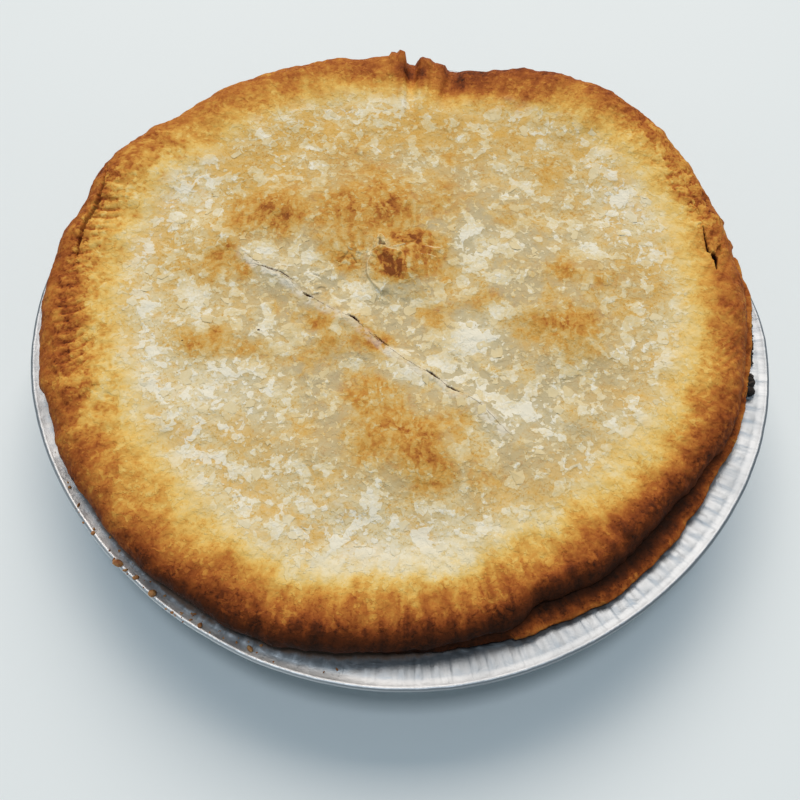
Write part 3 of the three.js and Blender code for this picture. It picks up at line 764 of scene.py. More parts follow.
def split_faces(vertices, faces, kinds, marked):
    """Splits the edges of the marked triangles in half and leaves no open seam beside them."""
    middles = {}
    for a, b, c in faces[marked].tolist():
        for key in (edge_key(a, b), edge_key(b, c), edge_key(c, a)):
            middles.setdefault(key, len(vertices) + len(middles))
    first, second = np.array(list(middles)).T
    new_vertices = np.vstack([vertices, (vertices[first] + vertices[second]) / 2])
    new_kinds = np.concatenate([kinds, np.minimum(kinds[first], kinds[second])])
    new_faces = []
    for a, b, c in faces.tolist():
        halves = [middles.get(key) for key in (edge_key(a, b), edge_key(b, c), edge_key(c, a))]
        new_faces.extend(split_triangle([a, b, c], halves))
    return new_vertices, np.array(new_faces), new_kinds


def split_triangle(corners, middles):
    """The triangles that one becomes when some of its edges have a new middle point."""
    halved = sum(middle is not None for middle in middles)
    if halved == 0:
        return [corners]
    while middles[0] is None or (halved == 2 and middles[1] is None):
        corners = corners[1:] + corners[:1]
        middles = middles[1:] + middles[:1]
    (a, b, c), (ab, bc, ca) = corners, middles
    if halved == 3:
        return [(a, ab, ca), (ab, b, bc), (ca, bc, c), (ab, bc, ca)]
    if halved == 2:
        return [(a, ab, c), (ab, bc, c), (ab, b, bc)]
    return [(a, ab, c), (ab, b, c)]


def finely_marked(x, y):
    """Where the rim is crimped, or blistered on the right, and needs smaller triangles."""
    bearing = bearing_of(x, y) % 360
    inset = edge_radius(bearing) - np.hypot(x, y)
    along = (bearing > CRIMPS["from"]) & (bearing < CRIMPS["to"] - 6)
    crimped = along & (inset > 5) & (inset < CRIMPS["inner"])
    return crimped | (blistered_share(BLISTERED[0], bearing, inset) > 0.15)


def refined(vertices, faces, kinds, lines):
    """Smaller triangles near the cracks and flaps, in two steps, and where the rim is finely marked."""
    for step, margin in enumerate(SPLIT_MARGINS):
        x, y = vertices[faces].mean(axis=1)[:, :2].T
        marked = np.zeros(len(faces), bool)
        for line, *_ in lines:
            near, distance, _ = near_line(line, x, y, SPLIT_REACH)
            marked[near[np.abs(distance) < line[:, 2].max() + margin]] = True
        if step == 0:
            marked |= finely_marked(x, y)
        marked &= kinds[faces].max(axis=1) == LID
        vertices, faces, kinds = split_faces(vertices, faces, kinds, marked)
    return vertices, faces, kinds


def point_normals(vertices, faces):
    corners = vertices[faces]
    normals = np.cross(corners[:, 1] - corners[:, 0], corners[:, 2] - corners[:, 0])
    summed = np.zeros_like(vertices)
    for corner in range(3):
        np.add.at(summed, faces[:, corner], normals)
    return summed / np.maximum(np.linalg.norm(summed, axis=1), 1e-9)[:, None]


def pattern(name, points):
    """A named pattern of fractal noise about 0, at each point."""
    strength, spacing, octaves, seed = PATTERNS[name]
    shift = Vector((17.3 * seed, -9.1 * seed, 5.7 * seed))
    values = [noise.fractal(Vector(p) / spacing + shift, 0.7, 2.1, octaves) for p in points]
    return strength * np.array(values)


def cells(points, size, warp, seed):
    """Irregular flat cells: how far each point is from its cell's edge, and the cell's own random value."""
    shift = Vector((3.1 * seed, 7.7 * seed, -2.3 * seed))
    edges = np.empty(len(points))
    values = np.empty(len(points))
    for k, p in enumerate(points):
        place = Vector(p) / size + shift
        place += warp * noise.noise_vector(place * 1.7) + 0.4 * warp * noise.noise_vector(place * 4.3)
        distances, centres = noise.voronoi(place)
        edges[k] = distances[1] - distances[0]
        centre = centres[0]
        values[k] = math.sin(centre.x * 12.99 + centre.y * 78.23 + centre.z * 37.72) * 43758.55 % 1.0
    return edges, values


def patched(patches, x, y):
    """The strongest of several soft patches at each point."""
    amount = np.zeros_like(x)
    for patch_x, patch_y, half_width, half_depth, strength in patches:
        distance = np.hypot((x - patch_x) / half_width, (y - patch_y) / half_depth)
        amount = np.maximum(amount, strength * bell(0.8 * distance))
    return amount


def rim_bake_and_shade(vertices, bearing, inset):
    """How deeply the rim's top is baked, with painted shade at the front edges, by bearing and by distance in
    from the edge.
    """
    drift = pattern("broad drift", vertices) + pattern("fine drift", vertices)
    shifted = inset + drift * smooth(inset, 1, 10)
    rows = np.stack([np.interp(shifted, BAKE_INSETS, depths) for depths in RIM_BAKE_AND_SHADE.values()])
    before, after, _, share = between(np.array(list(RIM_BAKE_AND_SHADE)), bearing)
    each = np.arange(len(bearing))
    return mixed(rows[before, each], rows[after, each], smooth(share, 0, 1))


def face_bake_and_shade(bearing, drop):
    """How deeply the rim's outer face is baked, by distance down from the edge, with painted shade at the
    front and the seam.
    """
    bake = FACE_BAKE_AND_SHADE
    plain = bake["plain"] + bake["front"] * at_place("dark shaded front", bearing)
    plain = plain + bake["foot"] * smooth(drop, 0.5, 3)
    bake = UNDER_CRUST_BAKE_AND_SHADE
    share = drop / under_crust_drop(bearing)
    right = at_place("pale right", bearing)
    under = mixed(bake["plain"], bake["right"], right) + bake["ledge"] * at_place("ledge", bearing)
    under = under + bake["seam"] * bell((share - 0.6) / 0.35) + bake["below"] * smooth(share, 0.9, 1.2)
    under = under + bake["foot"] * smooth(share, 1.4, 1.9) * (1 - right)
    return mixed(plain, under, under_crust_shown(bearing))


class CrustPoints:
    """The points of the crust's skin, with what its relief and its colour need to know at each."""

    def __init__(self, vertices, kinds):
        self.vertices = vertices
        self.x, self.y, level = vertices.T
        self.bearing = bearing_of(self.x, self.y) % 360
        self.on_face = kinds == FACE
        self.on_top = kinds == LID
        self.seen = kinds != HIDDEN
        self.inset = np.where(self.on_face, 0, edge_radius(self.bearing) - np.hypot(self.x, self.y))
        self.drop = np.maximum(crest_level(self.bearing) - SHOULDER_DROP - level, 0)
        later = LID_LATER_AT_LEFT * at_place("wide left", self.bearing)
        self.on_lid = smooth(self.inset - later, *LID_FROM) * self.seen
        self.streak = rim_streak(self.bearing, self.inset - np.where(self.on_face, self.drop, 0))
        self.across = 0.15 + 0.85 * at_place("streaked front", self.bearing)
        self.across += 0.5 * at_place("streaked back", self.bearing)
        self.wander = [pattern(name, vertices) for name in ("wander across", "wander along")]
        self.mottle = pattern("mottle", vertices)
        self.scaly = [blistered_share(zone, self.bearing, self.inset) * self.on_top for zone in BLISTERED]
        self.scale_edge, self.scale_value = cells(vertices, BLISTER_SIZE, 0.5, 1)


def crust_bake_and_shade(at, creases):
    """How deeply the rim is baked at each point, with darker scales, and painted shade in the creases and
    hollows.
    """
    grained = SCALE_BAKE["darker edge"] * (1 - smooth(at.scale_edge, 0, SCALE_BAKE["edge"]))
    grained = grained + SCALE_BAKE["contrast"] * (SCALE_BAKE["middle"] - at.scale_value)
    top = rim_bake_and_shade(at.vertices, at.bearing, at.inset) + np.maximum(at.scaly[0], 0.8 * at.scaly[1]) * grained
    top = top + (creases + patched(RIM_HOLLOW_SHADE, at.x, at.y)) * at.on_top
    return np.where(at.on_face, face_bake_and_shade(at.bearing, at.drop), top)


def crust_relief(at):
    """How far each point stands out: the uneven crust, the rim's streaks and its curled scales."""
    relief = pattern("broad relief", at.vertices) + pattern("fine relief", at.vertices)
    on_rim_top = at.seen * (1 - smooth(at.inset, 9, 18))
    relief += on_rim_top * at.across * pattern("streaks", at.streak)
    relief += on_rim_top * (1 - at.across) * pattern("lumps", at.vertices)
    curl = SCALE_CURL["least"] + SCALE_CURL["more"] * at.scale_value
    curled = smooth(at.scale_edge, 0, SCALE_CURL["edge"]) * curl - SCALE_CURL["sunk"]
    return relief + sum(zone["height"] * share * curled for zone, share in zip(BLISTERED, at.scaly))


def crust_surface():
    """The crust's points and faces, with what its material needs to know at each point."""
    cracks = traced(RIM_CRACKS, on_rim) + traced(LID_CRACKS)
    flaps = traced(FLAPS)
    vertices, faces, kinds = refined(*crust_skin(), cracks + flaps)
    at = CrustPoints(vertices, kinds)
    first, second = at.wander
    browned = patched(BROWNED, at.x + first, at.y + second)
    white = patched(WHITENED, at.x + second, at.y - first)
    islands = [(*each, 1) for each in PALE_ISLANDS]
    cracked, dark = opened(at.x, at.y, cracks)
    risen, pale_edge = lifted(at.x, at.y, flaps)
    pinched, pinch_shade = crimps(at.bearing, at.inset)
    folded, fold_shade = slanted_creases(at.bearing, at.inset)
    slit, share = path_place(SLIT_LINE, at.x, at.y)
    slit_shown = stretch(share, *SLIT_SHOWN) * at.on_top
    ridge = bell((slit + SLIT_RIDGE["aside"] + SLIT_RIDGE["wander"] * first) / SLIT_RIDGE["reach"])
    ridge = SLIT_RIDGE["height"] * (slit_shown * ridge * smooth(at.mottle, -0.5, 0.3))
    relief = crust_relief(at) + folded + (risen - cracked - pinched) * at.on_top + ridge
    moved = vertices + point_normals(vertices, faces) * (relief * at.seen)[:, None]
    band = bell((at.inset - LID_BAND["inset"]) / LID_BAND["reach"])
    added = LID_BAKE_ADDED
    lid_bake = LID_BAKE + added["browned"] * browned + added["white"] * white + added["band"] * band
    loose = smooth(white - browned, -0.3, 0.4) * (0.4 + 0.6 * smooth(at.mottle, -0.3, 0.4))
    return moved, faces, {
        "rim_bake_and_shade": np.clip(crust_bake_and_shade(at, 0.2 * pinch_shade + 0.12 * fold_shade), 0, 1),
        "lid_bake": np.clip(lid_bake, 0, 1),
        "island": patched(islands, at.x + 0.3 * second, at.y + 0.3 * first),
        "grey": 1 - smooth(np.hypot(at.x - GREY_MIDDLE[0], at.y - GREY_MIDDLE[1]), *GREY_REACH),
        "open": dark * at.on_top,
        "pale_edge": pale_edge * at.on_top,
        "white": np.clip(white, 0, 1),
        "lid": at.on_lid,
        "slit": np.clip(slit, -6, 6),
        "slit_shown": slit_shown,
        "across": at.across,
        "streak": at.streak * MM,
        "loose": at.on_lid * loose,
    }


def rim_streak(bearing, inset):
    """A place on the rim drawn out towards the middle, so that a pattern at it runs across the rim."""
    return np.stack([*plan(bearing, LIP_RADIUS), 0.3 * inset], axis=1)


def slanted_creases(bearing, inset):
    """Slanting folds on the right of the rim, where the lid was pulled over: how high, and the painted shade
    in their creases.
    """
    around = np.radians(turn_from(bearing, 0)) * LIP_RADIUS
    sway = RIM_FOLDS["sway"] * np.sin(around / 9.0 + inset / 6)
    fold = np.sin((around + RIM_FOLDS["slant"] * inset) / RIM_FOLDS["spacing"] * 2 * math.pi + sway)
    band = at_place("folded right", bearing) * stretch(inset, RIM_FOLDS["outer"], RIM_FOLDS["inner"], 3, 9)
    band = band * smooth(humps(around, inset, 7), -0.6, 0.5)
    return RIM_FOLDS["height"] * band * (np.abs(fold) - 0.6), band * bell(fold / 0.3)


class Value:
    """One output in a node tree. Arithmetic on it adds the Math nodes that work it out."""

    def __init__(self, nodes, socket):
        self.nodes = nodes
        self.socket = socket

    def other(self, name):
        return Value(self.nodes, self.socket.node.outputs[name])

    def math(self, operation, *terms):
        return self.nodes.add("ShaderNodeMath", {"operation": operation}, dict(enumerate(terms)))

    def __add__(self, other):
        return self.math("ADD", self, other)

    def __radd__(self, other):
        return self.math("ADD", other, self)

    def __sub__(self, other):
        return self.math("SUBTRACT", self, other)

    def __rsub__(self, other):
        return self.math("SUBTRACT", other, self)

    def __mul__(self, other):
        return self.math("MULTIPLY", self, other)

    def larger(self, other):
        return self.math("MAXIMUM", self, other)

    def size(self):
        return self.math("ABSOLUTE", self)

    def swing(self, strength):
        """A pattern's swing about its middle, to both sides of 0."""
        return (self - 0.5) * strength

    def clipped(self):
        return self.nodes.add("ShaderNodeClamp", {}, {0: self})

    def rise(self, low, high):
        """0 below low, 1 above high and an even S between."""
        sockets = {"Value": self, "From Min": low, "From Max": high}
        return self.nodes.add("ShaderNodeMapRange", {"interpolation_type": "SMOOTHSTEP"}, sockets)


class Nodes:
    """Adds nodes to one tree, each from its type, its settings and the values or links of its sockets."""

    def __init__(self, tree):
        self.tree = tree

    def add(self, kind, settings=None, sockets=None, output=0):
        node = self.tree.nodes.new(kind)
        for name, value in (settings or {}).items():
            setattr(node, name, value)
        for key, value in (sockets or {}).items():
            if isinstance(value, Value):
                self.tree.links.new(value.socket, node.inputs[key])
            else:
                node.inputs[key].default_value = value
        return Value(self, node.outputs[output]) if len(node.outputs) else None

    def mix(self, share, first, second):
        """One colour turning into another."""
        settings = {"data_type": "RGBA", "clamp_factor": True}
        return self.add("ShaderNodeMix", settings, {0: share, 6: first, 7: second}, output=2)

    def ramp(self, stops, share):
        """The colour at a share of the way along a row of stops."""
        made = self.add("ShaderNodeValToRGB", {}, {0: share})
        elements = made.socket.node.color_ramp.elements
        while len(elements) < len(stops):
            elements.new(0.5)
        for element, (position, colour) in zip(elements, stops):
            element.position = position
            element.color = colour
        return made

    def vector(self, operation, first, second):
        return self.add("ShaderNodeVectorMath", {"operation": operation}, {0: first, 1: second})

    def joined(self, x, y, z):
        return self.add("ShaderNodeCombineXYZ", {}, {"X": x, "Y": y, "Z": z})

    def noise(self, place, size, detail=4.0, roughness=0.55, distortion=0.0, output=0):
        """Noise with humps about size apart, from 0 to 1."""
        sockets = {
            "Vector": place,
            "Scale": 1 / size,
            "Detail": detail,
            "Roughness": roughness,
            "Distortion": distortion,
        }
        return self.add("ShaderNodeTexNoise", {}, sockets, output)

    def push(self, place, size, detail):
        """A random push at each place, up to a half to each side."""
        return self.vector("SUBTRACT", self.noise(place, size, detail, output="Color"), (0.5, 0.5, 0.5))

    def bent(self, place, size, reach):
        """The place pushed about by noise, so that a pattern at it wanders."""
        return self.vector("ADD", place, self.vector("MULTIPLY", self.push(place, size, 3), (reach,) * 3))

    def in_millimetres(self, place):
        return self.vector("MULTIPLY", place, (1 / MM,) * 3)

    def attribute(self, name, output="Fac"):
        return self.add("ShaderNodeAttribute", {"attribute_name": name}, output=output)


class Shaping(Nodes):
    """Adds nodes to a tree that works on a mesh."""

    def position(self):
        return self.add("GeometryNodeInputPosition")

    def named_number(self, name):
        return self.add("GeometryNodeInputNamedAttribute", {"data_type": "FLOAT"}, {"Name": name})

    def random_number(self, low, high, seed):
        sockets = {2: low, 3: high, "Seed": seed}
        return self.add("FunctionNodeRandomValue", {"data_type": "FLOAT"}, sockets, output=1)

    def random_vector(self, low, high, seed):
        sockets = {0: low, 1: high, "Seed": seed}
        return self.add("FunctionNodeRandomValue", {"data_type": "FLOAT_VECTOR"}, sockets)

    def instances(self, points, instance, rotation, scale):
        """One copy of a shape at each point, as real mesh."""
        sockets = {"Points": points, "Instance": instance, "Rotation": rotation, "Scale": scale}
        return self.realized(self.add("GeometryNodeInstanceOnPoints", {}, sockets))

    def realized(self, geometry):
        return self.add("GeometryNodeRealizeInstances", {}, {"Geometry": geometry})

    def moved(self, geometry, socket, place):
        return self.add("GeometryNodeSetPosition", {}, {"Geometry": geometry, socket: place})

    def stored(self, geometry, name, value):
        sockets = {"Geometry": geometry, "Name": name, "Value": value}
        return self.add("GeometryNodeStoreNamedAttribute", {"data_type": "FLOAT"}, sockets)


def paint(red, green, blue):
    """A colour as a screen shows it, 0 to 255, as the light that the shader works with."""
    shares = np.array([red, green, blue]) / 255
    light = np.where(shares <= 0.04045, shares / 12.92, ((shares + 0.055) / 1.055) ** 2.4)
    return (*light.tolist(), 1.0)


def new_material(name):
    """A material with its nodes, and Object coordinates in millimetres."""
    material = bpy.data.materials.new(name)
    material.use_nodes = True
    material.node_tree.nodes.clear()
    nodes = Nodes(material.node_tree)
    return material, nodes, nodes.in_millimetres(nodes.add("ShaderNodeTexCoord", output="Object"))


def surface(nodes, sockets):
    shader = nodes.add("ShaderNodeBsdfPrincipled", {}, sockets)
    nodes.add("ShaderNodeOutputMaterial", {}, {"Surface": shader})


def bumped(nodes, height, depth):
    return nodes.add("ShaderNodeBump", {}, {"Strength": 1.0, "Distance": depth * MM, "Height": height})


RIM_COLOURS = [
    (0.0, paint(236, 222, 182)),
    (0.15, paint(233, 209, 148)),
    (0.3, paint(230, 193, 110)),
    (0.4, paint(220, 172, 86)),
    (0.5, paint(206, 147, 66)),
    (0.6, paint(186, 117, 50)),
    (0.7, paint(163, 91, 38)),
    (0.8, paint(133, 66, 26)),
    (0.9, paint(92, 43, 17)),
    (1.0, paint(46, 23, 11)),
]
LID_COLOURS = [
    (0.0, paint(236, 231, 212)),
    (0.1, paint(230, 221, 193)),
    (0.2, paint(224, 209, 168)),
    (0.3, paint(219, 199, 150)),
    (0.4, paint(214, 186, 127)),
    (0.5, paint(210, 174, 104)),
    (0.6, paint(207, 160, 82)),
    (0.7, paint(198, 144, 68)),
    (0.8, paint(186, 125, 57)),
    (0.9, paint(168, 103, 46)),
    (1.0, paint(134, 75, 36)),
]


GREY_CRUST = paint(190, 179, 147)
GOLDEN_CRUST = paint(219, 174, 88)
CRUMBLED_EDGE = paint(233, 227, 210)
# Painted shade for the slit's narrow cut.
HAIRLINE_SHADE = paint(100, 78, 50)
TORN_EDGE = paint(236, 214, 168)
# Cracks: the walls' red-brown is partly painted shade, and the near-black floor is painted shade.
CRACK_WALL_AND_SHADE = paint(82, 35, 15)
CRACK_FLOOR_SHADE = paint(24, 16, 11)
FOIL = paint(154, 161, 168)
HAZY_FOIL = paint(142, 150, 158)
# A pale foil colour, laid on as painted highlight.
SHEEN_FOIL = paint(228, 231, 234)
# Baked fat's brown, which also serves as painted shade on the foil beside the crust.
BURNT_FAT_AND_SHADE = paint(112, 80, 54)
TABLE = paint(229, 237, 241)
SHADED_TABLE = paint(226, 235, 239)


class CrustPatterns:
    """The patterns that the crust's colour and relief share. Sizes are in millimetres."""

    def __init__(self, nodes, place):
        self.place = place
        self.lid = nodes.attribute("lid")
        self.lid_bake = nodes.attribute("lid_bake")
        self.rim_bake_and_shade = nodes.attribute("rim_bake_and_shade")
        self.grey = nodes.attribute("grey")
        self.across = nodes.attribute("across")
        self.flowing = nodes.bent(place, 14.0, 11.0)
        marbled = nodes.bent(nodes.bent(place, 8.0, 5.0), 2.4, 1.5)
        ragged = nodes.bent(place, 2.6, 1.3)
        aside = nodes.vector("ADD", ragged, (31.0, 17.0, 5.0))
        drawn_out = nodes.in_millimetres(nodes.attribute("streak", "Vector"))

        self.tint = nodes.noise(place, 17.0, 2, 0.5)
        self.cloud = nodes.noise(self.flowing, 6.0, 4, 0.55)
        self.dapple = nodes.noise(aside, 2.4, 3, 0.5)
        self.crumbly = nodes.noise(ragged, 0.9, 3, 0.6)
        self.grain = nodes.noise(place, 0.6, 3, 0.6)
        self.streaks = nodes.noise(drawn_out, 3.4, 3, 0.5, 0.5)
        self.blotches = nodes.noise(drawn_out, 9.0, 3, 0.55, 0.5)
        self.browned = (self.lid_bake - LID_BAKE).clipped()
        self.plain = 1 - self.browned.rise(0.04, 0.28)
        self.thickness = nodes.noise(marbled, 5.0, 2, 0.5) - 0.5
        piled = nodes.attribute("island") * 0.5 + self.dapple.swing(0.4) + self.thickness * 0.8
        self.sheet = piled.rise(0.22, 0.24).larger(self.thickness.rise(0.06, 0.075))
        self.crowded = nodes.noise(self.flowing, 9.0, 2).rise(0.42, 0.56)
        self.fleck = nodes.noise(aside, 1.8, 1.5, 0.45).rise(0.565, 0.59) * (0.25 + self.crowded * 0.75)
        self.layer = nodes.noise(ragged, 2.6, 3, 0.55) - 0.5
        # Thin lines of painted shade along the edges of the pastry's layers.
        edge = (1 - self.layer.size().rise(0.008, 0.035)) * self.crumbly.rise(0.42, 0.56)
        self.flake_edge_shade = edge * (1 - self.sheet * 0.7)


def lid_colour(nodes, seen):
    """The flaky lid: pale sheets, flecks and dry flakes on a mottled ground, browned in patches."""
    combed = nodes.noise(nodes.vector("MULTIPLY", seen.flowing, (1.0, 0.42, 1.0)), 1.9, 2, 0.5).rise(0.4, 0.6)
    whitened = (nodes.attribute("white") + seen.cloud.swing(1.6) + seen.dapple.swing(0.9)).rise(0.3, 0.56)
    depth = seen.lid_bake + seen.tint.swing(0.44 - seen.browned * 0.5)
    depth = depth + seen.cloud.swing(0.5 - seen.grey * 0.22 - seen.browned * 0.4)
    depth = depth + seen.dapple.swing(0.24 + seen.browned * 0.4) + seen.crumbly.rise(0.42, 0.58).swing(0.07)
    depth = depth + combed.swing(seen.browned * 0.55) + seen.grain.swing(0.06)
    depth = depth + seen.flake_edge_shade * (0.06 + seen.plain * 0.14)
    depth = depth - seen.sheet * (0.07 + seen.plain * 0.13) - seen.fleck * 0.18 - whitened * seen.plain * 0.13
    colour = nodes.ramp(LID_COLOURS, depth.clipped())
    clear = nodes.noise(seen.flowing, 9.0, 3).rise(0.36, 0.54) * seen.grey * seen.plain
    clear = clear * (1 - seen.sheet) * (1 - seen.fleck)
    colour = nodes.mix(clear * 0.75, colour, GREY_CRUST)
    golden = (nodes.noise(seen.flowing, 6.5, 3, 0.5, 0.3) + (1 - seen.grey) * 0.06).rise(0.5, 0.64)
    golden = golden * (1 - seen.sheet * 0.8) * (1 - seen.fleck * 0.7) * (1 - whitened * 0.7)
    return nodes.mix(golden * seen.plain * (0.56 - seen.grey * 0.4), colour, GOLDEN_CRUST)


def rim_depth(seen):
    """How deeply the rim is baked, with streaks across it, blotches and flakes."""
    depth = seen.streaks.swing(seen.across * 0.42) + seen.blotches.swing(0.3)
    depth = depth + seen.cloud.swing((1 - seen.across) * 0.44) + seen.dapple.swing(0.3)
    depth = depth + seen.crumbly.swing(0.2) - seen.fleck * 0.08 + seen.flake_edge_shade * 0.07
    return (seen.rim_bake_and_shade + depth * (1 - seen.rim_bake_and_shade.rise(0.8, 1.0) * 0.75)).clipped()


def broken_colour(nodes, seen, colour):
    """The crust's colour with the slit's crumbled edge, painted shade in the slit's hairline and the cracks,
    and the torn edges.
    """
    slit = nodes.attribute("slit")
    shown = nodes.attribute("slit_shown")
    beside = slit + 0.8 + seen.cloud.swing(3.4) + seen.grain.swing(1.4)
    crumbled = (1 - beside.size().rise(0.6, 2.3)) * shown * seen.dapple.rise(0.36, 0.52)
    colour = nodes.mix(crumbled * (0.5 + seen.crowded * 0.5) * 0.8, colour, CRUMBLED_EDGE)
    # Painted shade in the slit's narrow cut, as a dark hairline along it.
    hairline_shade = (1 - (slit + seen.grain.swing(0.8)).size().rise(0.05, 0.16)) * shown
    hairline_shade = hairline_shade * nodes.noise(seen.place, 2.4, 2).rise(0.44, 0.52)
    colour = nodes.mix(hairline_shade * 0.7, colour, HAIRLINE_SHADE)
    colour = nodes.mix(nodes.attribute("pale_edge").rise(0.25, 0.7) * 0.7, colour, TORN_EDGE)
    crack = nodes.attribute("open")
    colour = nodes.mix(crack.rise(0.08, 0.6), colour, CRACK_WALL_AND_SHADE)
    return nodes.mix(crack.rise(0.5, 0.85), colour, CRACK_FLOOR_SHADE)


def crust_material():
    material, nodes, place = new_material("baked_crust")
    seen = CrustPatterns(nodes, place)
    depth = rim_depth(seen)
    colour = nodes.mix(seen.lid, nodes.ramp(RIM_COLOURS, depth), lid_colour(nodes, seen))
    height = seen.thickness.rise(-0.05, 0.12) * 0.4 + seen.dapple * 0.7 + seen.fleck * 0.25
    height = height + seen.layer.rise(-0.06, 0.06) * 0.22 + seen.grain * 0.12
    height = height + seen.crumbly * (0.4 + seen.browned * 0.6)
    height = height + seen.streaks * seen.across * (1 - seen.lid) * 0.6
    surface(nodes, {
        "Base Color": broken_colour(nodes, seen, colour),
        "Roughness": 0.9 - depth * (1 - seen.lid) * 0.25 + seen.grain.swing(0.2),
        "Normal": bumped(nodes, height, 0.33),
        "Specular IOR Level": 0.1,
    })
    return material


def flake_material():
    material, nodes, place = new_material("loose_flake")
    grain = nodes.noise(place, 0.8, 4)
    depth = nodes.attribute("lid_bake") - 0.12 + grain.swing(0.2)
    surface(nodes, {
        "Base Color": nodes.ramp(LID_COLOURS, depth.clipped()),
        "Roughness": 0.62 + grain * 0.2,
        "Specular IOR Level": 0.3,
    })
    return material


def foil_material():
    material, nodes, place = new_material("pressed_foil")
    crease = nodes.noise(nodes.in_millimetres(nodes.attribute("streak", "Vector")), 2.2, 2, 0.5)
    crinkle = nodes.noise(place, 4.5, 4, 0.6, 0.8)
    haze = nodes.noise(place, 14.0, 3)
    scratch = nodes.noise(place, 0.7, 3)
    # Baked juice on the foil, with painted shade where the crust overhangs it.
    stain_and_shade = (nodes.attribute("smear_and_shade") + nodes.noise(place, 3.0, 5, 0.65).swing(1.1)).rise(0.35, 0.95)
    clean = nodes.mix(haze.rise(0.4, 0.7) * 0.5, FOIL, HAZY_FOIL)
    # Painted highlight: the foil is paler where it shines.
    clean = nodes.mix(nodes.attribute("painted_sheen"), clean, SHEEN_FOIL)
    surface(nodes, {
        "Base Color": nodes.mix(stain_and_shade * 0.85, clean, BURNT_FAT_AND_SHADE),
        "Metallic": 1 - stain_and_shade * 0.7,
        "Roughness": 0.4 + haze * 0.14 + stain_and_shade * 0.2,
        "Normal": bumped(nodes, crinkle * 0.8 + crease * 1.2 + scratch * 0.1, 0.2),
    })
    return material


def crumb_material(name, stops):
    material, nodes, place = new_material(name)
    mottle = nodes.noise(place, 1.3, 4)
    surface(nodes, {
        "Base Color": nodes.ramp(stops, mottle),
        "Roughness": 0.8 - mottle * 0.2,
        "Normal": bumped(nodes, mottle, 0.3),
    })
    return material


def floor_material():
    material, nodes, place = new_material("pale_table")
    shade = nodes.noise(place, 120.0, 2)
    surface(nodes, {
        "Base Color": nodes.mix(shade * 0.2, TABLE, SHADED_TABLE),
        "Roughness": 0.6 + shade * 0.1,
    })
    return material


def mesh_object(name, vertices, faces, material, attributes=None):
    """An object in the model's own frame, from points in millimetres about the tin's middle."""
    mesh = bpy.data.meshes.new(name)
    placed = (np.asarray(vertices) + (*TIN_CENTRE, 0.0)) * MM
    mesh.from_pydata(placed.tolist(), [], [tuple(int(index) for index in face) for face in faces])
    for label, values in (attributes or {}).items():
        values = np.asarray(values, np.float32)
        kind, field = ("FLOAT", "value") if values.ndim == 1 else ("FLOAT_VECTOR", "vector")
        layer = mesh.attributes.new(label, kind, "POINT")
        layer.data.foreach_set(field, values.ravel())
    mesh.polygons.foreach_set("use_smooth", np.ones(len(mesh.polygons), bool))
    mesh.update()
    made = bpy.data.objects.new(name, mesh)
    bpy.context.scene.collection.objects.link(made)
    made.data.materials.append(material)
    return made


def foil_section():
    """The foil's inner section: radius, level, then how far a flute moves it out and up, and a dent."""
    section = [(BASE_RADIUS * share, FOIL_THICKNESS, 0.0, 0.0, 0.0) for share in BASE_SHARES]
    for share in np.linspace(0, 1, WALL_ROWS):
        radius = mixed(WALL_FOOT[0], WALL_TOP[0], share)
        level = mixed(WALL_FOOT[1], WALL_TOP[1], share)
        grown = float(smooth(share, *FLUTES_GROW))
        section.append((radius, level, grown, 0.0, grown))
    for share in np.linspace(FLANGE_FROM, 1, FLANGE_ROWS):
        radius = mixed(WALL_TOP[0], FLANGE_END[0], share)
        level = mixed(WALL_TOP[1], FLANGE_END[1], math.sin(share * math.pi / 2))
        fade = 1 - FLANGE_FADE["share"] * float(smooth(share, FLANGE_FADE["from"], 1.0))
        out = FLANGE_FLUTED["out"] * (1 - share)
        section.append((radius, level, out, FLANGE_FLUTED["up"] * fade, 0.5 + 0.5 * fade))
    return section


def lip_section():
    """The rolled lip's section, given in the same way, over the top and round below."""
    section = []
    for turn in np.radians(np.linspace(*LIP_TURN, LIP_ROWS)):
        radius = LIP_RADIUS - LIP_ROLL * (1 - math.cos(turn))
        level = LIP_LEVEL + LIP_ROLL * math.sin(turn)
        section.append((radius, level, 0.0, LIP_FLUTED, LIP_DENTED))
    return section


def outer_section(inside):
    """The foil's outer section, from the lip down: the inner one moved by the foil's thickness."""
    section = []
    for radius, level, *weights in reversed(inside):
        steep = BASE_RADIUS < radius < WALL_TOP[0] + 0.1
        out = FOIL_THICKNESS if steep else 0.0
        down = 0.4 * FOIL_THICKNESS if steep else FOIL_THICKNESS
        section.append((radius + out, max(level - down, 0.0), *weights))
    return section


def foil_stains_and_shade(bearing, radius):
    """Where baked juice and painted shade darken the foil's inside: the flange at the front left, and beside
    the crust.
    """
    clean = smooth(radius, FLANGE_STAIN_AND_SHADE["from"], FLANGE_STAIN_AND_SHADE["to"])
    flange = FLANGE_STAIN_AND_SHADE["strength"] * at_place("stained and shaded front left", bearing) * (1 - clean)
    beside = 1 - smooth(radius - edge_radius(bearing), *CRUST_STAIN_AND_SHADE)
    front = at_place("stained and shaded front", bearing) + at_place("stained and shaded right", bearing)
    return np.maximum(flange, beside * np.minimum(front, 1))


def painted_foil_sheen(bearing, radius):
    """Where the foil is painted paler as a highlight: the flange at the front left, and the lip, less so at
    the left.
    """
    flange = FLANGE_SHEEN["strength"] * at_place("sheen front left", bearing)
    flange = flange * smooth(radius, FLANGE_SHEEN["from"], FLANGE_SHEEN["to"])
    lip = LIP_SHEEN["strength"] * (1 - LIP_SHEEN["less at left"] * at_place("dull left", bearing))
    lip = lip * smooth(radius, LIP_SHEEN["from"], LIP_SHEEN["to"])
    return np.maximum(flange, lip)


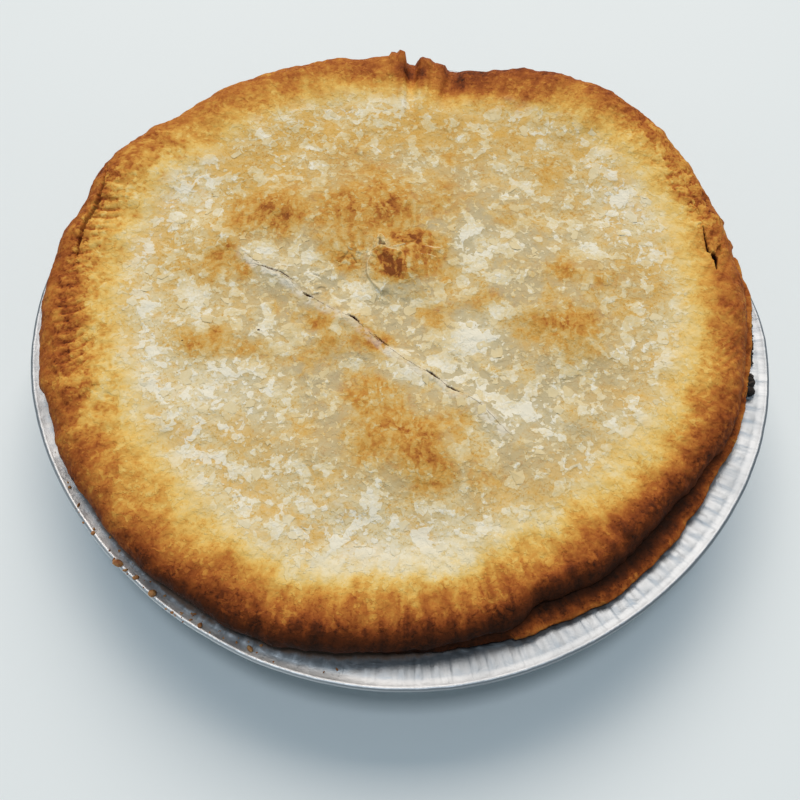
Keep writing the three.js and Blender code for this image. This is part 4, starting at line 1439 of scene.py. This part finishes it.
def foil_skin():
    """The tin's skin before it is fluted: up the inside, over the lip and down the outside."""
    inside = foil_section()
    rings = Rings()
    weights = []
    smears_and_shade = []
    bearing = even_bearings(FLUTES * COLUMNS_PER_FLUTE)
    for row, (radius, level, *weight) in enumerate(inside + lip_section() + outer_section(inside)):
        out = swollen(radius, bearing) - dented_lip(radius, bearing)
        rings.add(bearing, out, np.full(len(bearing), level))
        weights.extend([weight] * len(bearing))
        smears_and_shade.append(foil_stains_and_shade(bearing, radius) * (row < len(inside)))
    weights = np.array(weights + [[0.0, 0.0, 0.0]] * 2)
    vertices, faces, _ = rings.skin((0.0, 0.0, FOIL_THICKNESS), (0.0, 0.0, 0.0))
    x, y, level = vertices.T
    return vertices, faces, {
        "flute_out": weights[:, 0],
        "flute_up": weights[:, 1],
        "dent": weights[:, 2],
        "smear_and_shade": np.concatenate(smears_and_shade + [[0.0, 0.0]]),
        "painted_sheen": painted_foil_sheen(bearing_of(x, y), np.hypot(x - SHEEN_MIDDLE[0], y - SHEEN_MIDDLE[1])),
        "streak": rim_streak(bearing_of(x, y), level) * MM,
    }


def new_tree(name, inputs):
    """A geometry node tree with named number inputs. Gives the tree, its nodes and each input by name."""
    tree = bpy.data.node_groups.new(name, "GeometryNodeTree")
    tree.interface.new_socket("Geometry", in_out="INPUT", socket_type="NodeSocketGeometry")
    tree.interface.new_socket("Geometry", in_out="OUTPUT", socket_type="NodeSocketGeometry")
    for label in inputs:
        tree.interface.new_socket(label, in_out="INPUT", socket_type="NodeSocketFloat")
    nodes = Shaping(tree)
    given = tree.nodes.new("NodeGroupInput")
    return tree, nodes, {socket.name: Value(nodes, socket) for socket in given.outputs if socket.name}


def finish_tree(nodes, geometry, material):
    sockets = {"Geometry": nodes.realized(geometry), "Material": material}
    nodes.add("NodeGroupOutput", {}, {"Geometry": nodes.add("GeometryNodeSetMaterial", {}, sockets)})


def grow(made, tree, sizes, rounded=True):
    """Runs a tree on an object with the given sizes and leaves the result as its plain mesh."""
    modifier = made.modifiers.new(tree.name, "NODES")
    modifier.node_group = tree
    for item in tree.interface.items_tree:
        if item.in_out == "INPUT" and item.name in sizes:
            modifier[item.identifier] = sizes[item.name]
    evaluated = made.evaluated_get(bpy.context.evaluated_depsgraph_get())
    mesh = bpy.data.meshes.new_from_object(evaluated)
    made.modifiers.clear()
    made.data = mesh
    mesh.polygons.foreach_set("use_smooth", np.full(len(mesh.polygons), rounded))
    return made


FOIL_SIZES = {"Flutes": float(FLUTES), "Flute depth": FLUTE_DEPTH * MM, "Dent depth": DENT_DEPTH * MM}


def fluting_tree(material):
    """Presses the flutes into the foil, and dents it a little."""
    tree, nodes, given = new_tree("foil_fluting", FOIL_SIZES)
    place = nodes.position()
    axes = nodes.add("ShaderNodeSeparateXYZ", {}, {0: place})
    x = axes - TIN_CENTRE[0] * MM
    y = axes.other("Y") - TIN_CENTRE[1] * MM
    bearing = x.math("ARCTAN2", y, x)
    turns = bearing * given["Flutes"] + nodes.noise(place, 24 * MM, 2).swing(5.0)
    depth = given["Flute depth"] * (nodes.noise(place, 11 * MM, 2) * 1.3 - 0.1) * 0.5
    press = turns.math("SINE", turns) * depth
    dent = nodes.noise(place, 16 * MM, 3).swing(given["Dent depth"]) * nodes.named_number("dent")
    out = press * nodes.named_number("flute_out") + dent
    up = press * nodes.named_number("flute_up") + dent * 0.7
    offset = nodes.joined(out * bearing.math("COSINE", bearing), out * bearing.math("SINE", bearing), up)
    finish_tree(nodes, nodes.moved(given["Geometry"], "Offset", offset), material)
    return tree


def make_tin():
    material = foil_material()
    vertices, faces, attributes = foil_skin()
    tin = mesh_object("foil_shell", vertices, faces, material, attributes)
    return grow(tin, fluting_tree(material), FOIL_SIZES)


def make_crust():
    vertices, faces, attributes = crust_surface()
    return mesh_object("crust", vertices, faces, crust_material(), attributes)


FLAKE_SIZES = {
    "Density": 30000.0,
    "Spacing": 4.0 * MM,
    "Smallest": 0.8 * MM,
    "Largest": 2.2 * MM,
    "Thickness": 0.08 * MM,
    "Lift": 0.16 * MM,
}
FLAKE_CORNERS = 9
FLAKE_SUNK = 0.04 * MM
FLAKE_RAGGED = (5.0 * MM, 5.0 * MM, 0.0)
ABOVE_THE_PIE = 80 * MM


def flake_discs(nodes, given):
    """Flat discs strewn where the crust is loose, with a layer of 0 at the underside and 1 at the top."""
    sockets = {
        "Mesh": given["Geometry"],
        "Distance Min": given["Spacing"],
        "Density Max": given["Density"],
        "Density Factor": nodes.named_number("loose"),
        "Seed": 7,
    }
    spots = nodes.add("GeometryNodeDistributePointsOnFaces", {"distribute_method": "POISSON"}, sockets)
    sockets = {"Vertices": FLAKE_CORNERS, "Radius": 1.0, "Depth": 1.0}
    disc = nodes.add("GeometryNodeMeshCylinder", {"fill_type": "TRIANGLE_FAN"}, sockets)
    level = nodes.add("ShaderNodeSeparateXYZ", {}, {0: nodes.position()}, output="Z")
    disc = nodes.stored(disc, "layer", level + 0.5)
    spin = nodes.random_vector((0, 0, 0), (0, 0, math.tau), 3)
    width = nodes.random_number(given["Smallest"], given["Largest"], 5)
    scale = nodes.joined(width, width * nodes.random_number(0.4, 0.95, 8), 0.1 * MM)
    discs = nodes.instances(spots, disc, spin, scale)
    ragged = nodes.vector("MULTIPLY", nodes.push(nodes.position(), 1.1 * MM, 2), FLAKE_RAGGED)
    return nodes.moved(discs, "Offset", ragged)


def flake_tree(material):
    """Lays thin, uneven flakes of pastry along the crust, each as baked as the crust below it."""
    tree, nodes, given = new_tree("loose_flakes", FLAKE_SIZES)
    flakes = flake_discs(nodes, given)
    spot = nodes.position()
    above = nodes.vector("ADD", nodes.vector("MULTIPLY", spot, (1.0, 1.0, 0.0)), (0.0, 0.0, ABOVE_THE_PIE))
    hit = nodes.add("GeometryNodeRaycast", {"data_type": "FLOAT"}, {
        "Target Geometry": given["Geometry"],
        "Attribute": nodes.named_number("lid_bake"),
        "Source Position": above,
        "Ray Direction": (0.0, 0.0, -1.0),
        "Ray Length": ABOVE_THE_PIE,
    }, output="Hit Position")
    curl = nodes.noise(spot, 2.2 * MM, 2).rise(0.35, 0.75) * given["Lift"]
    rise = curl + nodes.named_number("layer") * given["Thickness"] - FLAKE_SUNK
    landed = nodes.vector("ADD", hit, nodes.joined(0.0, 0.0, rise))
    flakes = nodes.stored(flakes, "lid_bake", hit.other("Attribute"))
    finish_tree(nodes, nodes.moved(flakes, "Position", landed), material)
    return tree


def make_flakes(crust):
    """Thin flakes that have come loose from the lid."""
    flakes = bpy.data.objects.new("loose_flakes", crust.data.copy())
    bpy.context.scene.collection.objects.link(flakes)
    return grow(flakes, flake_tree(flake_material()), FLAKE_SIZES, rounded=False)


def lump_tree(name, material):
    """Sets a small uneven lump at each point, of the size that the point gives."""
    tree, nodes, given = new_tree(name, ["Unevenness"])
    lump = nodes.add("GeometryNodeMeshIcoSphere", {}, {"Radius": 1.0, "Subdivisions": 2})
    spin = nodes.random_vector((0, 0, 0), (math.tau,) * 3, 2)
    form = nodes.random_vector((0.5, 0.5, 0.35), (1.4, 1.1, 0.8), 4)
    reach = nodes.named_number("reach")
    scale = nodes.vector("MULTIPLY", form, nodes.joined(reach, reach, reach))
    lumps = nodes.instances(given["Geometry"], lump, spin, scale)
    depth = given["Unevenness"]
    push = nodes.push(nodes.position(), 1.2 * MM, 2)
    push = nodes.vector("MULTIPLY", push, nodes.joined(depth, depth, depth))
    finish_tree(nodes, nodes.moved(lumps, "Offset", push), material)
    return tree


def make_lumps(name, spots, material, depth):
    """Crumbs or drips at spots given by bearing, radius, level and size, uneven to the given depth."""
    bearing, radius, level, reach = np.array(spots, float).T
    points = np.stack([*plan(bearing, radius), level], axis=1)
    lumps = mesh_object(name, points, [], material, {"reach": reach * MM})
    return grow(lumps, lump_tree(name, material), {"Unevenness": depth * MM})


# Crumbs on the lip: bearing, radius and size. Smaller ones are strewn along the flange and the lip.
LIP_CRUMBS = [
    (215.1, 111.5, 0.7),
    (220.2, 112.2, 1.2),
    (226.4, 112.1, 1.5),
    (227.9, 112.0, 0.9),
    (229.8, 111.7, 0.8),
    (233.3, 111.6, 1.4),
    (241.7, 111.4, 1.0),
    (249.5, 111.1, 0.8),
]
STREWN = {"count": 60, "bearing": 232, "spread": 14, "from": 109.0, "to": 113.0, "lip from": 111, "seed": 11}
STREWN_LEVEL = {"flange": 0.1, "lip": 0.6}
STREWN_SIZE = {"smallest": 0.25, "more": 0.45}


def crumb_spots():
    """The crumbs on the lip at the front left, then smaller ones strewn along the flange."""
    spots = [(bearing, radius, LIP_LEVEL + 0.5 + 0.3 * reach, reach) for bearing, radius, reach in LIP_CRUMBS]
    pick = np.random.default_rng(STREWN["seed"])
    for _ in range(STREWN["count"]):
        bearing = pick.normal(STREWN["bearing"], STREWN["spread"])
        radius = pick.uniform(STREWN["from"], STREWN["to"])
        level = LIP_LEVEL + STREWN_LEVEL["flange" if radius < STREWN["lip from"] else "lip"]
        reach = STREWN_SIZE["smallest"] + STREWN_SIZE["more"] * pick.random() ** 2
        spots.append((bearing, radius, level, reach))
    return spots


# At the right: the burnt drop's lumps by bearing, radius, level and size, and the line behind it.
BURNT_SPOTS = [
    (345.9, 106.8, 31.2, 1.5),
    (346.8, 107.1, 31.4, 2.0),
    (347.7, 107.6, 31.5, 2.3),
    (348.6, 107.9, 31.5, 2.3),
    (349.5, 108.1, 31.4, 2.0),
    (350.4, 108.3, 31.3, 1.4),
]
# The line is partly burnt juice and partly painted shade in the gap at the crust's foot.
BURNT_AND_SHADED_LINE = {"from": 353.0, "to": 367.0, "every": 0.5, "out": 0.9, "above lip": 0.7, "size": 0.8}


def burnt_and_shaded_spots():
    """The drop of burnt juice, then the thin dark line, partly burnt juice and partly painted shade, along
    the crust's foot behind the drop.
    """
    spots = list(BURNT_SPOTS)
    for bearing in np.arange(BURNT_AND_SHADED_LINE["from"], BURNT_AND_SHADED_LINE["to"], BURNT_AND_SHADED_LINE["every"]):
        radius = float(edge_radius(bearing)) + UNDER_CRUST["step"] + BURNT_AND_SHADED_LINE["out"]
        spots.append((bearing, radius, LIP_LEVEL + BURNT_AND_SHADED_LINE["above lip"], BURNT_AND_SHADED_LINE["size"]))
    return spots


CRUMB_STOPS = [(0.3, paint(138, 82, 44)), (0.55, paint(186, 128, 74)), (0.75, paint(222, 180, 120))]
BURNT_AND_SHADE_STOPS = [(0.3, paint(22, 14, 10)), (0.75, paint(46, 28, 18))]


TABLE_REACH = 3000.0


def make_floor():
    corners = [(x * TABLE_REACH, y * TABLE_REACH, 0.0) for x, y in ((-1, -1), (1, -1), (1, 1), (-1, 1))]
    return mesh_object("table", corners, [(0, 1, 2, 3)], floor_material())


# The photograph's view: a camera 303 mm from a point on the lip's plane, looking down at 61 degrees.
VIEW_DISTANCE = 302.7
VIEW_ELEVATION = 61.1
VIEW_TARGET = (-0.3, -27.65, LIP_LEVEL)
VIEW_ROLL = 1.0
VIEW_FOCAL_SHARE = 1000 / 800


def make_camera():
    elevation = math.radians(VIEW_ELEVATION)
    target = Vector(VIEW_TARGET) + Vector((*TIN_CENTRE, 0.0))
    back = Vector((0.0, -math.cos(elevation), math.sin(elevation)))
    right = Vector((1.0, 0.0, 0.0))
    up = back.cross(right)
    roll = Matrix.Rotation(math.radians(VIEW_ROLL), 4, back)
    data = bpy.data.cameras.new("photo_view")
    data.sensor_width = 36.0
    data.lens = data.sensor_width * VIEW_FOCAL_SHARE
    data.clip_start = 0.01
    camera = bpy.data.objects.new("photo_view", data)
    axes = Matrix((right, up, back)).transposed().to_4x4()
    camera.matrix_world = Matrix.Translation((target + VIEW_DISTANCE * back) * MM) @ roll @ axes
    bpy.context.scene.collection.objects.link(camera)
    bpy.context.scene.camera = camera


def area_light(name, bearing, elevation, distance, size, floor_share, colour):
    """A soft light aimed at the pie from some metres off, which gives the floor a share of its light."""
    up = math.radians(elevation)
    x, y = plan(bearing, math.cos(up))
    place = Vector((x, y, math.sin(up))) * distance
    data = bpy.data.lights.new(name, "AREA")
    data.shape = "RECTANGLE"
    data.size, data.size_y = size
    data.energy = floor_share * (math.pi * distance) ** 2 / math.sin(up)
    data.color = colour
    light = bpy.data.objects.new(name, data)
    light.location = place
    light.rotation_euler = (-place).to_track_quat("-Z", "Y").to_euler()
    bpy.context.scene.collection.objects.link(light)


ROOM_COLOUR = (0.75, 0.92, 1.0, 1.0)
ROOM_STRENGTH = 0.26
LIGHTS = [
    {
        "name": "window", "bearing": 90, "elevation": 50, "distance": 6.0, "size": (4.8, 4.0),
        "floor_share": 0.645, "colour": (1.0, 0.87, 0.76),
    },
    {
        "name": "ceiling", "bearing": 270, "elevation": 84, "distance": 4.4, "size": (0.72, 0.72),
        "floor_share": 0.215, "colour": (0.86, 0.93, 1.0),
    },
]


def make_light():
    scene = bpy.context.scene
    scene.view_settings.view_transform = "Standard"
    scene.world = bpy.data.worlds.new("soft_room")
    scene.world.use_nodes = True
    background = scene.world.node_tree.nodes["Background"]
    background.inputs["Color"].default_value = ROOM_COLOUR
    background.inputs["Strength"].default_value = ROOM_STRENGTH
    for light in LIGHTS:
        area_light(**light)


make_light()
make_camera()
table = make_floor()

tin = make_tin()
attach(tin, "root")
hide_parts("foil_tin")

crust = make_crust()
flakes = make_flakes(crust)
crumbs = make_lumps("crumbs", crumb_spots(), crumb_material("toasted_crumb", CRUMB_STOPS), depth=0.9)
burnt_drip_and_shade = make_lumps("burnt_drip_and_shade", burnt_and_shaded_spots(), crumb_material("burnt_juice_and_shade", BURNT_AND_SHADE_STOPS), depth=1.0)
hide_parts("pie")
for piece in (crust, flakes, crumbs, burnt_drip_and_shade):
    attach(piece, "root")
